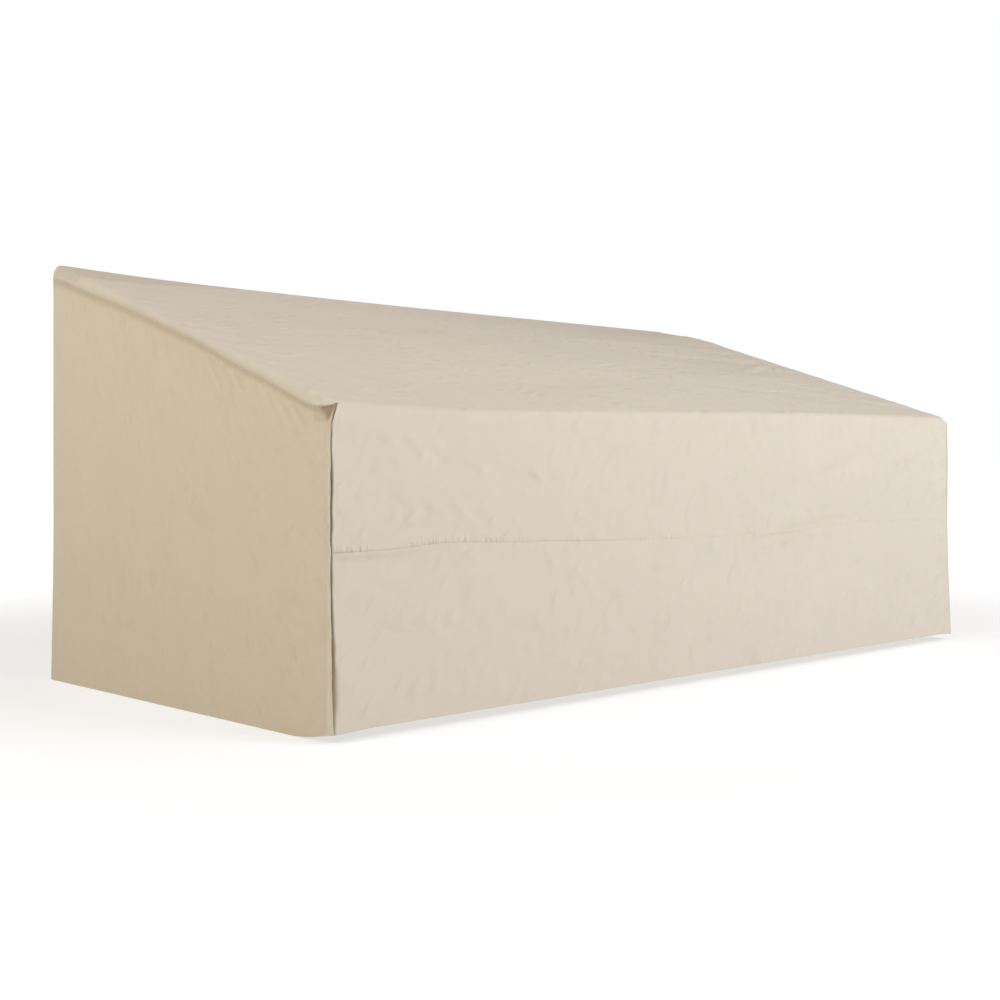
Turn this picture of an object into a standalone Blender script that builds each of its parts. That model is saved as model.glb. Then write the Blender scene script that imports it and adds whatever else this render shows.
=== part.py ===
"""Outdoor sofa cover: five sewn cloth panels, hollow, in the shape in which they hang over a high-backed sofa.

Metres, +Z up. +X runs along the sofa, the front faces -Y, and the origin is at the middle of the floor.
Each panel is a grid laid over the cover's outer surface, with its thickness added inwards. Seen from outside,
a panel's columns run from left to right and its rows from bottom to top.
"""

import math
from collections import namedtuple

import bmesh
import bpy

# ---------------------------------------------------------------- driving dimensions

HALF_WIDTH = 1.007
FRONT = -0.4855  # y of the front face at the level seam
BACK = 0.4945
CLOTH = 0.0015
SEAM_GAP = 0.0004  # clear space between two sewn edges

FLARE_TOP = 0.316  # the walls are upright above this height and lean out below it
FRONT_FLARE = 0.012
SIDE_FLARE = 0.004
BACK_FLARE = 0.003
FLARE_CURVE = 1.3

FOLD_ROUND = 0.016  # cloth that each face gives to the soft front edge
RIDGE_ROUND = 0.018
SLOPE_START = FRONT + FOLD_ROUND  # y where the straight slope of the top begins and ends
SLOPE_END = BACK - RIDGE_ROUND
SLUMP_START = 0.72  # share of the slope at which the droop of the ridge begins
BACK_SEAM_DROP = 0.032  # from the ridge down to the back seam
ROLL = 0.015  # cloth that a face gives to the turn at a side edge
ROLL_CROWN = 0.0025  # how far the turn over a sloping side edge leans out before it meets the seam
PROUD_FROM = 0.003  # a corner seam sunk less than this needs extra room for the cloth's thickness
PARTING_REACH = 0.070
SHALLOW_DIP = 0.0015  # how deep the level, sloping and back seams lie
BACK_CORNER = 0.006  # how far the rounded back corners take their seam in
BACK_CORNER_ROOM = 0.001  # how much lower the side and back panels stop under the top's turn at a back corner
TURN_SLACK = 0.005  # from an upright seam to where the front cloth starts to dive into it

CORNER_HEM = 0.0145  # height of the hem at a front corner, swept up from the level side hem
HEM_SWEEP = 0.115
FRONT_HEM = 0.0175
FRONT_HEM_SWEEP = 0.080

SIDE_FACE_COLOUR = (0.56, 0.47, 0.33, 1.0)
FRONT_FACE_COLOUR = (0.69, 0.62, 0.51, 1.0)
CLOTH_ROUGHNESS = 0.85

# ---------------------------------------------------------------- uneven lines and folds, as short tables

Line = namedtuple("Line", "place height")
Ridge = namedtuple("Ridge", "place height droop")
Corner = namedtuple("Corner", "height inset sunk welt")
Fold = namedtuple("Fold", "face start end width height")

# The soft front edge by x: it sags between the left corner and the middle.
FRONT_EDGE = [
    Line(-1.005, 0.571), Line(-0.93, 0.566), Line(-0.82, 0.563), Line(-0.66, 0.559),
    Line(-0.43, 0.562), Line(-0.03, 0.568), Line(0.35, 0.574), Line(1.005, 0.575),
]
# The ridge by x, and how far it has slumped below the straight slope.
RIDGE_LINE = [
    Ridge(-1.005, 0.892, 0.000), Ridge(-0.78, 0.882, 0.002), Ridge(-0.40, 0.874, 0.004),
    Ridge(0.00, 0.869, 0.007), Ridge(0.60, 0.865, 0.013), Ridge(1.005, 0.862, 0.018),
]
# The level seam by x: it wavers, and jumps up beside the slack at its right end.
LEVEL_SEAM = [
    Line(-1.005, 0.316), Line(-0.86, 0.318), Line(-0.77, 0.323), Line(-0.60, 0.319),
    Line(-0.28, 0.309), Line(0.00, 0.305), Line(0.34, 0.308), Line(0.56, 0.318),
    Line(0.78, 0.316), Line(1.005, 0.311),
]
# The left sloping seam by y, from behind the front corner's ear up to the back corner.
SLOPE_SEAM = [
    Line(-0.4725, 0.5685), Line(-0.4405, 0.570), Line(-0.3985, 0.581), Line(-0.3105, 0.612),
    Line(-0.2175, 0.643), Line(-0.1195, 0.680), Line(0.0375, 0.731), Line(0.1495, 0.766),
    Line(0.3295, 0.817), Line(0.4595, 0.853), Line(0.4895, 0.857),
]
# An upright front seam by height: its inset from the side face, how deep it is sunk behind the front face
# (a proud ear is below zero), and how far the side panel's turned edge stands out beside it.
LEFT_CORNER = [
    Corner(0.014, 0.007, 0.003, 0.006), Corner(0.130, 0.007, 0.005, 0.007), Corner(0.316, 0.007, 0.003, 0.006),
    Corner(0.400, 0.007, 0.006, 0.007), Corner(0.505, 0.007, 0.006, 0.006), Corner(0.530, 0.007, 0.001, 0.004),
    Corner(0.567, 0.006, -0.011, 0.000),
]
RIGHT_CORNER = [
    Corner(0.013, 0.007, 0.004, 0.003), Corner(0.090, 0.006, 0.003, 0.007), Corner(0.316, 0.005, 0.002, 0.011),
    Corner(0.520, 0.005, 0.002, 0.011), Corner(0.566, 0.005, 0.002, 0.007),
]

# Drag lines and slack, each a soft ridge (or a trough, below zero) from start to end.
# A front fold is placed by (x, z), a top one by (x, y) and a side one by (y, z).
FOLDS = [
    Fold("front", (0.36, 0.312), (0.60, 0.330), 0.018, 0.0045),
    Fold("front", (0.42, 0.345), (0.93, 0.520), 0.032, 0.0030),
    Fold("front", (0.30, 0.380), (0.90, 0.555), 0.030, -0.0025),
    Fold("front", (0.68, 0.370), (0.98, 0.460), 0.028, -0.0020),
    Fold("front", (0.62, 0.160), (0.82, 0.230), 0.032, -0.0025),
    Fold("front", (-0.95, 0.275), (-0.72, 0.180), 0.028, 0.0020),
    Fold("front", (-0.95, 0.294), (-0.78, 0.292), 0.016, -0.0030),
    Fold("front", (-0.80, 0.470), (-0.55, 0.430), 0.040, -0.0020),
    Fold("top", (0.30, 0.20), (0.95, 0.16), 0.035, 0.0030),
    Fold("top", (0.45, 0.05), (0.97, 0.03), 0.032, -0.0025),
    Fold("top", (0.35, -0.16), (0.95, -0.12), 0.040, 0.0025),
    Fold("top", (-0.55, -0.30), (0.10, -0.20), 0.070, -0.0040),
    Fold("top", (-0.70, 0.25), (0.20, 0.20), 0.090, -0.0040),
    Fold("left", (0.42, 0.78), (0.34, 0.45), 0.035, 0.0020),
    Fold("left", (0.10, 0.70), (0.13, 0.50), 0.032, -0.0020),
    Fold("left", (-0.20, 0.60), (-0.15, 0.44), 0.032, 0.0020),
    Fold("left", (0.40, 0.12), (0.20, 0.02), 0.032, -0.0025),
    Fold("right", (0.30, 0.75), (0.20, 0.45), 0.035, 0.0020),
    Fold("right", (-0.10, 0.60), (-0.02, 0.30), 0.032, -0.0020),
    Fold("back", (-0.50, 0.75), (-0.42, 0.40), 0.060, -0.0030),
    Fold("back", (0.40, 0.78), (0.32, 0.35), 0.060, 0.0030),
]
FOLD_FADE = 0.035  # a fold dies out over this distance from a seam
FOLD_TAPER = 0.2  # and tapers over this share of its length, both before and past each end

# The pocket in the left side panel that the ear leaves under the corner, at (y, z).
POCKET_Y = -0.4585
POCKET_Z = 0.546
POCKET_RADIUS = 0.020
POCKET_DEPTH = 0.008

# ---------------------------------------------------------------- how the grids are divided

ACROSS_COLUMNS = 40
ROLL_COLUMNS = 3
WELT_COLUMNS = 4
SLOPE_ROWS = 18
SLOPE_GRADING = 1.5  # over 1, the rows are closer together near the front
ROUND_ROWS = 4
UPPER_ROWS = 7
UPPER_GRADING = 1.4  # over 1, the rows are closer together near the soft front edge
LOWER_ROWS = 6
BACK_ROWS = 8
SEAM_ROW = 0.04  # share of a wall's height between a seam and the first row beside it


# ---------------------------------------------------------------- curves


def lerp(start, end, share):
    return start + (end - start) * share


def blend_points(start, end, share):
    return tuple(lerp(a, b, share) for a, b in zip(start, end))


def eased(share):
    share = min(max(share, 0.0), 1.0)
    return share * share * (3 - 2 * share)


def bezier(start, middle, end, share):
    return blend_points(blend_points(start, middle, share), blend_points(middle, end, share), share)


def read_line(table, column, place):
    """A table's column at a place along its first column, half straight and half eased between two rows."""
    if place <= table[0][0]:
        return getattr(table[0], column)
    for before, after in zip(table, table[1:]):
        if place < after[0]:
            share = (place - before[0]) / (after[0] - before[0])
            share = lerp(share, eased(share), 0.5)
            return lerp(getattr(before, column), getattr(after, column), share)
    return getattr(table[-1], column)


def fold_height(fold, across, up):
    """Height of one soft fold at a point of its face."""
    (start_across, start_up), (end_across, end_up) = fold.start, fold.end
    run, rise = end_across - start_across, end_up - start_up
    length = math.hypot(run, rise)
    share = ((across - start_across) * run + (up - start_up) * rise) / length**2
    distance = ((across - start_across) * rise - (up - start_up) * run) / length
    from_end = 0.5 - abs(share - 0.5)
    ends = eased((from_end + FOLD_TAPER) / (2 * FOLD_TAPER))
    return fold.height * ends * math.exp(-((distance / fold.width) ** 2))


def relief(face, across, up, from_seam):
    """How far the cloth stands out at a point of a face, over all of that face's folds."""
    total = sum(fold_height(fold, across, up) for fold in FOLDS if fold.face == face)
    return total * eased(from_seam / FOLD_FADE)


# ---------------------------------------------------------------- the cover's faces


def flare(height, amount):
    return amount * max(0.0, 1 - height / FLARE_TOP) ** FLARE_CURVE


def front_y(height):
    return FRONT - flare(height, FRONT_FLARE)


def back_y(height):
    return BACK + flare(height, BACK_FLARE)


def side_x(side, height):
    return side * (HALF_WIDTH + flare(height, SIDE_FLARE))


def front_edge_z(x):
    return read_line(FRONT_EDGE, "height", x)


def ridge_z(x):
    return read_line(RIDGE_LINE, "height", x)


def level_seam_z(x):
    return read_line(LEVEL_SEAM, "height", x)


def back_seam_z(x):
    return ridge_z(x) - BACK_SEAM_DROP


def top_z(x, y):
    """The sloping top, straight from the soft front edge and slumping towards the ridge."""
    droop = read_line(RIDGE_LINE, "droop", x)
    share = (y - FRONT) / (BACK - FRONT)
    slump = eased((share - SLUMP_START) / (1 - SLUMP_START))
    return lerp(front_edge_z(x), ridge_z(x) + droop, share) - droop * slump


def slope_seam_z(side, y):
    """Height of a sloping seam. The right one lies as far below its edge as the left one does."""
    left = read_line(SLOPE_SEAM, "height", y)
    return left if side < 0 else left - top_z(-HALF_WIDTH, y) + top_z(HALF_WIDTH, y)


def side_hem_z(y):
    return CORNER_HEM * max(0.0, 1 - (y - FRONT) / HEM_SWEEP) ** 2


def front_hem_z(x):
    return lerp(CORNER_HEM, FRONT_HEM, eased((HALF_WIDTH - abs(x)) / FRONT_HEM_SWEEP))


# ---------------------------------------------------------------- the sewn edges, shared by the panels that meet


def corner_row(side, column, height):
    return read_line(LEFT_CORNER if side < 0 else RIGHT_CORNER, column, height)


def front_corner(side, height):
    """The upright seam at a front corner."""
    x = side_x(side, height) - side * corner_row(side, "inset", height)
    return (x, front_y(height) + corner_row(side, "sunk", height), height)


def spread(side, height):
    """Extra room on each side of an upright seam where it stands proud, so that the cloth's thickness clears."""
    return CLOTH * min(max((PROUD_FROM - corner_row(side, "sunk", height)) / PROUD_FROM, 0.0), 1.0)


def parting(y):
    """Extra room under a sloping seam beside the corner's peak, where the top's turn is tight."""
    return CLOTH * eased(1 - (y - SLOPE_START) / PARTING_REACH)


def corner_peak(side):
    """The top of an upright front seam, where the sloping seam meets it. The left one is the tip of the ear."""
    return front_corner(side, (LEFT_CORNER if side < 0 else RIGHT_CORNER)[-1].height)


def slope_edge(side, y):
    return (side * (HALF_WIDTH - SHALLOW_DIP), y, slope_seam_z(side, y))


def back_corner(side, height):
    return (side_x(side, height) - side * BACK_CORNER, back_y(height) - BACK_CORNER / 2, height)


def back_corner_top(side):
    """Height at which a side panel and the back panel end at their common corner, below the top's turn."""
    return back_seam_z(side * HALF_WIDTH) - SEAM_GAP / 2 - BACK_CORNER_ROOM


def fold_start_z(x):
    return front_edge_z(x) - FOLD_ROUND


def slope_y(share):
    return lerp(SLOPE_START, SLOPE_END, share**SLOPE_GRADING)


def upper_shares():
    """Rows between the level seam and the soft front edge."""
    graded = [1 - (1 - row / UPPER_ROWS) ** UPPER_GRADING for row in range(1, UPPER_ROWS + 1)]
    return [0.0, SEAM_ROW] + graded


def lower_shares():
    """Rows between the hem and the level seam."""
    return [row / LOWER_ROWS * (1 - SEAM_ROW) for row in range(LOWER_ROWS + 1)] + [1.0]


# ---------------------------------------------------------------- top and front panel


def top_front_rows():
    """Its rows from the level seam up over the soft edge, the slope and the ridge to the back seam."""
    rows = [("front", share) for share in upper_shares()]
    rows += [("edge", row / ROUND_ROWS) for row in range(1, ROUND_ROWS)]
    rows += [("slope", row / SLOPE_ROWS) for row in range(SLOPE_ROWS + 1)]
    rows += [("ridge", row / ROUND_ROWS) for row in range(1, ROUND_ROWS + 1)]
    return rows + [("back", 1.0)]


def straight_cloth(x, row):
    """(y, z) of a row of the top and front panel between its side rolls."""
    part, share = row
    inward = HALF_WIDTH - ROLL - abs(x)
    if part == "front":
        z = lerp(level_seam_z(x) + SEAM_GAP / 2, fold_start_z(x), share)
        dip = SHALLOW_DIP if share == 0 else 0.0
        return (front_y(z) + dip - relief("front", x, z, inward), z)
    if part == "edge":
        below = (front_y(fold_start_z(x)), fold_start_z(x))
        above = (SLOPE_START, top_z(x, SLOPE_START))
        return bezier(below, (FRONT, front_edge_z(x)), above, share)
    if part == "slope":
        y = slope_y(share)
        from_seam = min(inward, y - SLOPE_START, SLOPE_END - y)
        return (y, top_z(x, y) + relief("top", x, y, from_seam))
    if part == "ridge":
        above, below = (SLOPE_END, top_z(x, SLOPE_END)), (BACK, ridge_z(x) - RIDGE_ROUND)
        return bezier(above, (BACK, ridge_z(x)), below, share)
    return (BACK - SHALLOW_DIP, back_seam_z(x) + SEAM_GAP / 2)


def row_end(side, row):
    """The sewn end of a row: on the upright seam, round its peak, up the sloping seam or round the back corner."""
    part, share = row
    side_face = side * HALF_WIDTH
    if part == "front":
        return front_corner(side, lerp(level_seam_z(side_face) + SEAM_GAP / 2, fold_start_z(side_face), share))
    if part == "slope":
        return slope_edge(side, slope_y(share))
    if part == "edge":
        peak = corner_peak(side)
        below, above = front_corner(side, fold_start_z(side_face)), slope_edge(side, SLOPE_START)
        return blend_points(below, peak, share * 2) if share <= 0.5 else blend_points(peak, above, share * 2 - 1)
    turned = (share * ROUND_ROWS if part == "ridge" else ROUND_ROWS + 1) / (ROUND_ROWS + 1)
    return blend_points(slope_edge(side, SLOPE_END), back_corner(side, back_seam_z(side_face)), turned)


def side_roll(side, row, share):
    """The turn between a row's straight cloth (share 0) and its sewn end (share 1)."""
    part = row[0]
    end_x, end_y, end_z = row_end(side, row)
    start = (side * (HALF_WIDTH - ROLL), *straight_cloth(side * (HALF_WIDTH - ROLL), row))
    turned_up = {"front": 0.0, "edge": max(0.0, row[1] * 2 - 1)}.get(part, 1.0)
    over = lerp(end_x - side * TURN_SLACK, side * (HALF_WIDTH + ROLL_CROWN), turned_up)
    room = SEAM_GAP / 2 + spread(side, end_z) * (1 - turned_up) if part in ("front", "edge") else 0.0
    upward = end_z if part == "front" else end_z + SEAM_GAP / 2
    return bezier(start, (over, start[1], start[2]), (end_x - side * room, end_y, upward), share)


def across_panel(roll, straight):
    """A place(column, row) function for a panel that spans the cover: roll, straight cloth, roll."""

    def place(column, row):
        inner = column - ROLL_COLUMNS
        if inner < 0:
            return roll(-1, row, -inner / ROLL_COLUMNS)
        if inner > ACROSS_COLUMNS:
            return roll(1, row, (inner - ACROSS_COLUMNS) / ROLL_COLUMNS)
        x = lerp(ROLL - HALF_WIDTH, HALF_WIDTH - ROLL, inner / ACROSS_COLUMNS)
        return (x, *straight(x, row))

    return place


# ---------------------------------------------------------------- lower front panel


def lower_cloth(x, share):
    z = lerp(front_hem_z(x), level_seam_z(x) - SEAM_GAP / 2, share)
    dip = SHALLOW_DIP if share == 1 else 0.0
    return (front_y(z) + dip - relief("front", x, z, HALF_WIDTH - ROLL - abs(x)), z)


def lower_roll(side, row_share, share):
    edge = side * HALF_WIDTH
    end = front_corner(side, lerp(front_hem_z(edge), level_seam_z(edge) - SEAM_GAP / 2, row_share))
    start = (side * (HALF_WIDTH - ROLL), *lower_cloth(side * (HALF_WIDTH - ROLL), row_share))
    middle = (end[0] - side * TURN_SLACK, start[1], start[2])
    return bezier(start, middle, (end[0] - side * SEAM_GAP / 2, end[1], end[2]), share)


# ---------------------------------------------------------------- back panel


def back_cloth(x, share):
    z = lerp(0.0, back_seam_z(x) - SEAM_GAP / 2, share)
    dip = SHALLOW_DIP if share == 1 else 0.0
    from_seam = min(HALF_WIDTH - ROLL - abs(x), back_seam_z(x) - z)
    return (back_y(z) - dip + relief("back", x, z, from_seam), z)


def back_roll(side, row_share, share):
    end = back_corner(side, lerp(0.0, back_corner_top(side), row_share))
    start = (side * (HALF_WIDTH - ROLL), *back_cloth(side * (HALF_WIDTH - ROLL), row_share))
    middle = (end[0] - side * TURN_SLACK, start[1], start[2])
    return bezier(start, middle, (end[0] - side * SEAM_GAP / 2, end[1], end[2]), share)


# ---------------------------------------------------------------- side panels


def side_rows(side):
    """Its rows as shares of its height, level with the front panels' rows at their common corner."""
    edge = side * HALF_WIDTH
    hem, seam, top = front_hem_z(edge), level_seam_z(edge), fold_start_z(edge)
    heights = [lerp(hem, seam, share) for share in lower_shares()]
    heights += [lerp(seam, top, share) for share in upper_shares()[1:]]
    peak = corner_peak(side)[2]
    return [(height - hem) / (peak - hem) for height in heights] + [1.0]


def pocket(side, y, z):
    if side > 0:
        return 0.0
    distance = math.hypot(y - POCKET_Y, z - POCKET_Z)
    return POCKET_DEPTH * math.exp(-((distance / POCKET_RADIUS) ** 2))


def side_flat(side, y, share):
    """The flat of a side panel at a depth."""
    hem, top = side_hem_z(y), slope_seam_z(side, y) - SEAM_GAP / 2 - parting(y)
    z = lerp(hem, top, share)
    dip = SHALLOW_DIP if share == 1 else pocket(side, y, z)
    from_seam = min(top - z, y - SLOPE_START, SLOPE_END - y)
    out = relief("left" if side < 0 else "right", y, z, from_seam) - dip
    return (side_x(side, z) + side * out, y, z)


def side_front_turn(side, share, turn):
    """The side panel's front edge, turned round the corner into the upright seam as a thin proud welt."""
    start = side_flat(side, SLOPE_START, share)
    edge = side * HALF_WIDTH
    height = lerp(front_hem_z(edge), corner_peak(side)[2], share)
    end_x, end_y, end_z = front_corner(side, height)
    welt = corner_row(side, "welt", height)
    middle = (side_x(side, height), end_y - welt, lerp(start[2], end_z, 0.5))
    room = SEAM_GAP / 2 + spread(side, height)
    down = SEAM_GAP / 2 + CLOTH if share == 1 else 0.0
    return bezier(start, middle, (end_x + side * room, end_y, end_z - down), turn)


def side_back_turn(side, share, turn):
    """The side panel's back edge, turned round the rounded back corner."""
    start = side_flat(side, SLOPE_END, share)
    height = lerp(0.0, back_corner_top(side), share)
    end_x, end_y, end_z = back_corner(side, height)
    middle = (side_x(side, height), back_y(height), lerp(start[2], end_z, 0.5))
    return bezier(start, middle, (end_x + side * SEAM_GAP / 2, end_y, end_z), turn)


def side_panel_place(side):
    """place(column, share) for a side panel, with its columns counted from the front."""

    def place(column, share):
        if column < WELT_COLUMNS:
            return side_front_turn(side, share, 1 - column / WELT_COLUMNS)
        if column > WELT_COLUMNS + SLOPE_ROWS:
            return side_back_turn(side, share, (column - WELT_COLUMNS - SLOPE_ROWS) / ROLL_COLUMNS)
        return side_flat(side, slope_y((column - WELT_COLUMNS) / SLOPE_ROWS), share)

    return place


# ---------------------------------------------------------------- building


def cloth_material(name, colour):
    material = bpy.data.materials.new(name)
    material.use_nodes = True
    shader = material.node_tree.nodes["Principled BSDF"]
    shader.inputs["Base Color"].default_value = colour
    shader.inputs["Roughness"].default_value = CLOTH_ROUGHNESS
    shader.inputs["Metallic"].default_value = 0.0
    return material


def sew_panel(name, collection, columns, rows, place, colour):
    """Lays a grid over place(column, row) and thickens it inwards. Columns run left to right, seen from outside."""
    last_row = len(rows) - 1
    grid = bmesh.new()
    bmesh.ops.create_grid(grid, x_segments=columns, y_segments=last_row, size=1.0)
    for vertex in grid.verts:
        column = round((vertex.co.x + 1) / 2 * columns)
        row = round((vertex.co.y + 1) / 2 * last_row)
        vertex.co = place(column, rows[row])
    mesh = bpy.data.meshes.new(name)
    grid.to_mesh(mesh)
    grid.free()
    mesh.materials.append(cloth_material(name + "_cloth", colour))
    mesh.shade_smooth()
    panel = bpy.data.objects.new(name, mesh)
    collection.objects.link(panel)
    thickness = panel.modifiers.new("Cloth thickness", "SOLIDIFY")
    thickness.thickness = CLOTH
    thickness.offset = -1.0
    return panel


def main():
    for leftover in list(bpy.data.objects):
        bpy.data.objects.remove(leftover, do_unlink=True)
    cover = bpy.data.collections.new("outdoor_sofa_cover")
    bpy.context.scene.collection.children.link(cover)

    across = ACROSS_COLUMNS + 2 * ROLL_COLUMNS
    around = WELT_COLUMNS + SLOPE_ROWS + ROLL_COLUMNS
    back_rows = [row / BACK_ROWS for row in range(BACK_ROWS + 1)]
    top_front = across_panel(side_roll, straight_cloth)
    lower_front = across_panel(lower_roll, lower_cloth)
    back = across_panel(back_roll, back_cloth)
    left, right = side_panel_place(-1), side_panel_place(1)

    sew_panel("top_front_panel", cover, across, top_front_rows(), top_front, FRONT_FACE_COLOUR)
    sew_panel("lower_front_panel", cover, across, lower_shares(), lower_front, FRONT_FACE_COLOUR)
    sew_panel("back_panel", cover, across, back_rows, lambda column, row: back(across - column, row), SIDE_FACE_COLOUR)
    sew_panel(
        "left_side_panel", cover, around, side_rows(-1), lambda column, row: left(around - column, row), SIDE_FACE_COLOUR
    )
    sew_panel("right_side_panel", cover, around, side_rows(1), right, SIDE_FACE_COLOUR)


main()
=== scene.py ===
"""Looks of an outdoor sofa cover: five sewn sheets of canvas, in the shape they take over a high-backed sofa.

Metres, +Z up. +X runs along the sofa, the front faces -Y, and the origin is at the middle of the floor, as in
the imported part. Each sheet is a fine grid laid over the cover's outer surface and thickened inwards, and it
takes the place of the part's plain panel of the same name. Lengths along and across a sheet are numpy arrays,
so that one call places all of its points.
"""

import logging
import math
import random
from dataclasses import dataclass, field
from enum import Enum

import bpy
import numpy as np
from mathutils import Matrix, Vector


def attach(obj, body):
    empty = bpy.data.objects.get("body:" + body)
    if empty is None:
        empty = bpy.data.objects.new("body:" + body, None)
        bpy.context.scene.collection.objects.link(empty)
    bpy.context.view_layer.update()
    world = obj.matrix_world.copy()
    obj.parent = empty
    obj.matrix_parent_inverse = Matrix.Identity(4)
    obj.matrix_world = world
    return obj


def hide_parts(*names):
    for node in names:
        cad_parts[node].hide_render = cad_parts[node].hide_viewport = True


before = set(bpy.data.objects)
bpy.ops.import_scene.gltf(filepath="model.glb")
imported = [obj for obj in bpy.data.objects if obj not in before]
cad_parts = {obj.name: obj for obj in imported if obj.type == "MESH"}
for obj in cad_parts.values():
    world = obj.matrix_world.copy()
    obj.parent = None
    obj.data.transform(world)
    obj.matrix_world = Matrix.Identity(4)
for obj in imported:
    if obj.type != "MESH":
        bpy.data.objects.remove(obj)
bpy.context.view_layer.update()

LEFT, RIGHT = -1, 1
# The first layer darkens the colour with painted shade; the third lays painted light and shade on turned
# edges.
PAINTED_SHADE = "painted_shade"
PUCKER = "pucker"
EDGE_LIGHT_AND_SHADE = "turn"
CREASE = "crease"
CLOTH_MAP = "cloth"

log = logging.getLogger("outdoor_sofa_cover")

Array = np.ndarray
Row = tuple[float, ...]
Place = tuple[float, float, float]
Colour = tuple[float, float, float, float]
Tree = bpy.types.NodeTree
Socket = bpy.types.NodeSocket


# ---------------------------------------------------------------- curves


def lerp(start: Array, end: Array, share: Array) -> Array:
    """Straight blend from start to end."""
    return start + (end - start) * share


def eased(share: Array) -> Array:
    """Share from 0 to 1 with soft ends, held at 0 and 1 outside them."""
    share = np.clip(share, 0.0, 1.0)
    return share * share * (3 - 2 * share)


def near(distance: Array, reach: float) -> Array:
    """1 at a line, eased down to 0 at its reach."""
    return eased(1 - distance / reach)


def bezier(start: Array, middle: Array, end: Array, share: Array) -> Array:
    """Point at a share of the curve from start to end that is drawn towards middle."""
    return lerp(lerp(start, middle, share), lerp(middle, end, share), share)


def graded(count: int, power: float) -> Array:
    """Shares from 0 to 1 in count steps, closer together near 0 where power is over 1."""
    return np.linspace(0.0, 1.0, count + 1) ** power


@dataclass(frozen=True)
class Table:
    """An uneven line: rows sorted by place, each with its place and then a value for each column."""

    rows: list[Row]
    columns: tuple[str, ...] = ("height",)

    def read(self, place: Array, column: str = "height") -> Array:
        """Reads a column on a smooth curve through the rows.

        Args:
            place: where to read it.
            column: name of the column.

        Returns:
            The column's value at each place, level beyond the first and last rows.
        """
        places = np.array([row[0] for row in self.rows])
        values = np.array([row[self.columns.index(column) + 1] for row in self.rows])
        slopes = np.gradient(values, places)
        place = np.clip(place, places[0], places[-1])
        row = np.clip(np.searchsorted(places, place, side="right") - 1, 0, len(places) - 2)
        step = places[row + 1] - places[row]
        share = (place - places[row]) / step
        bend = share * (1 - share) * step
        pull = slopes[row] * (1 - share) - slopes[row + 1] * share
        return lerp(values[row], values[row + 1], eased(share)) + bend * pull


# ---------------------------------------------------------------- folds


class Face(Enum):
    """A face that carries folds: by (x, z) on the front and back, (x, y) on the top, (y, z) on a side."""

    FRONT = "front"
    TOP = "top"
    LEFT = "left"
    RIGHT = "right"
    BACK = "back"


@dataclass(frozen=True)
class Fold:
    """One soft ridge from start to end on a face, or a trough where its height is below zero."""

    face: Face
    start: tuple[float, float]
    end: tuple[float, float]
    width: float
    height: float
    taper: float = 0.2

    def at(self, across: Array, up: Array) -> Array:
        """Height of the cloth over its plain face at each point, tapered away past both ends.

        Args:
            across: place along the face.
            up: place up or back along it.

        Returns:
            The height at each point.
        """
        run, rise = self.end[0] - self.start[0], self.end[1] - self.start[1]
        length = math.hypot(run, rise)
        share = ((across - self.start[0]) * run + (up - self.start[1]) * rise) / length**2
        distance = ((across - self.start[0]) * rise - (up - self.start[1]) * run) / length
        ends = eased((0.5 - np.abs(share - 0.5) + self.taper) / (2 * self.taper))
        return self.height * ends * np.exp(-((distance / self.width) ** 2))


@dataclass(frozen=True)
class Fan:
    """Drag lines side by side: where the first and the last one start, and the run of each of those two."""

    face: Face
    first: tuple[float, float]
    last: tuple[float, float]
    first_run: tuple[float, float]
    last_run: tuple[float, float]
    count: int
    width: float
    height: float
    seed: int

    def folds(self) -> list[Fold]:
        """The fan's lines, each with a seeded length, spacing, width and height of its own.

        Returns:
            The lines, as folds.
        """
        draw = random.Random(self.seed)
        lines = []
        for number in range(self.count):
            share = (number + draw.uniform(-0.3, 0.3)) / (self.count - 1)
            start = tuple(lerp(a, b, share) for a, b in zip(self.first, self.last))
            reach = draw.uniform(0.55, 1.25)
            run = tuple(lerp(a, b, share) * reach for a, b in zip(self.first_run, self.last_run))
            end = (start[0] + run[0], start[1] + run[1])
            height = self.height * draw.uniform(0.4, 1.0) * (1 if number % 2 else -1)
            lines.append(Fold(self.face, start, end, self.width * draw.uniform(0.7, 1.3), height, taper=0.35))
        return lines


# Large folds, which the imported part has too. Each row is a start, an end, a width and a height.
MAIN_FOLDS: dict[Face, list[Row]] = {
    Face.FRONT: [
        (0.36, 0.312, 0.60, 0.330, 0.018, 0.0045), (0.42, 0.345, 0.93, 0.520, 0.032, 0.0030),
        (0.30, 0.380, 0.90, 0.555, 0.030, -0.0025), (0.68, 0.370, 0.98, 0.460, 0.028, -0.0020),
        (0.62, 0.160, 0.82, 0.230, 0.032, -0.0025), (-0.95, 0.275, -0.72, 0.180, 0.028, 0.0020),
        (-0.95, 0.294, -0.78, 0.292, 0.016, -0.0030), (-0.80, 0.470, -0.55, 0.430, 0.040, -0.0020),
    ],
    Face.TOP: [
        (0.30, 0.20, 0.95, 0.16, 0.035, 0.0030), (0.45, 0.05, 0.97, 0.03, 0.032, -0.0025),
        (0.35, -0.16, 0.95, -0.12, 0.040, 0.0025), (-0.55, -0.30, 0.10, -0.20, 0.070, -0.0040),
        (-0.70, 0.25, 0.20, 0.20, 0.090, -0.0040),
    ],
    Face.LEFT: [
        (0.42, 0.78, 0.34, 0.45, 0.035, 0.0020), (0.10, 0.70, 0.13, 0.50, 0.032, -0.0020),
        (-0.20, 0.60, -0.15, 0.44, 0.032, 0.0020), (0.40, 0.12, 0.20, 0.02, 0.032, -0.0025),
    ],
    Face.RIGHT: [(0.30, 0.75, 0.20, 0.45, 0.035, 0.0020), (-0.10, 0.60, -0.02, 0.30, 0.032, -0.0020)],
    Face.BACK: [(-0.50, 0.75, -0.42, 0.40, 0.060, -0.0030), (0.40, 0.78, 0.32, 0.35, 0.060, 0.0030)],
}

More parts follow.
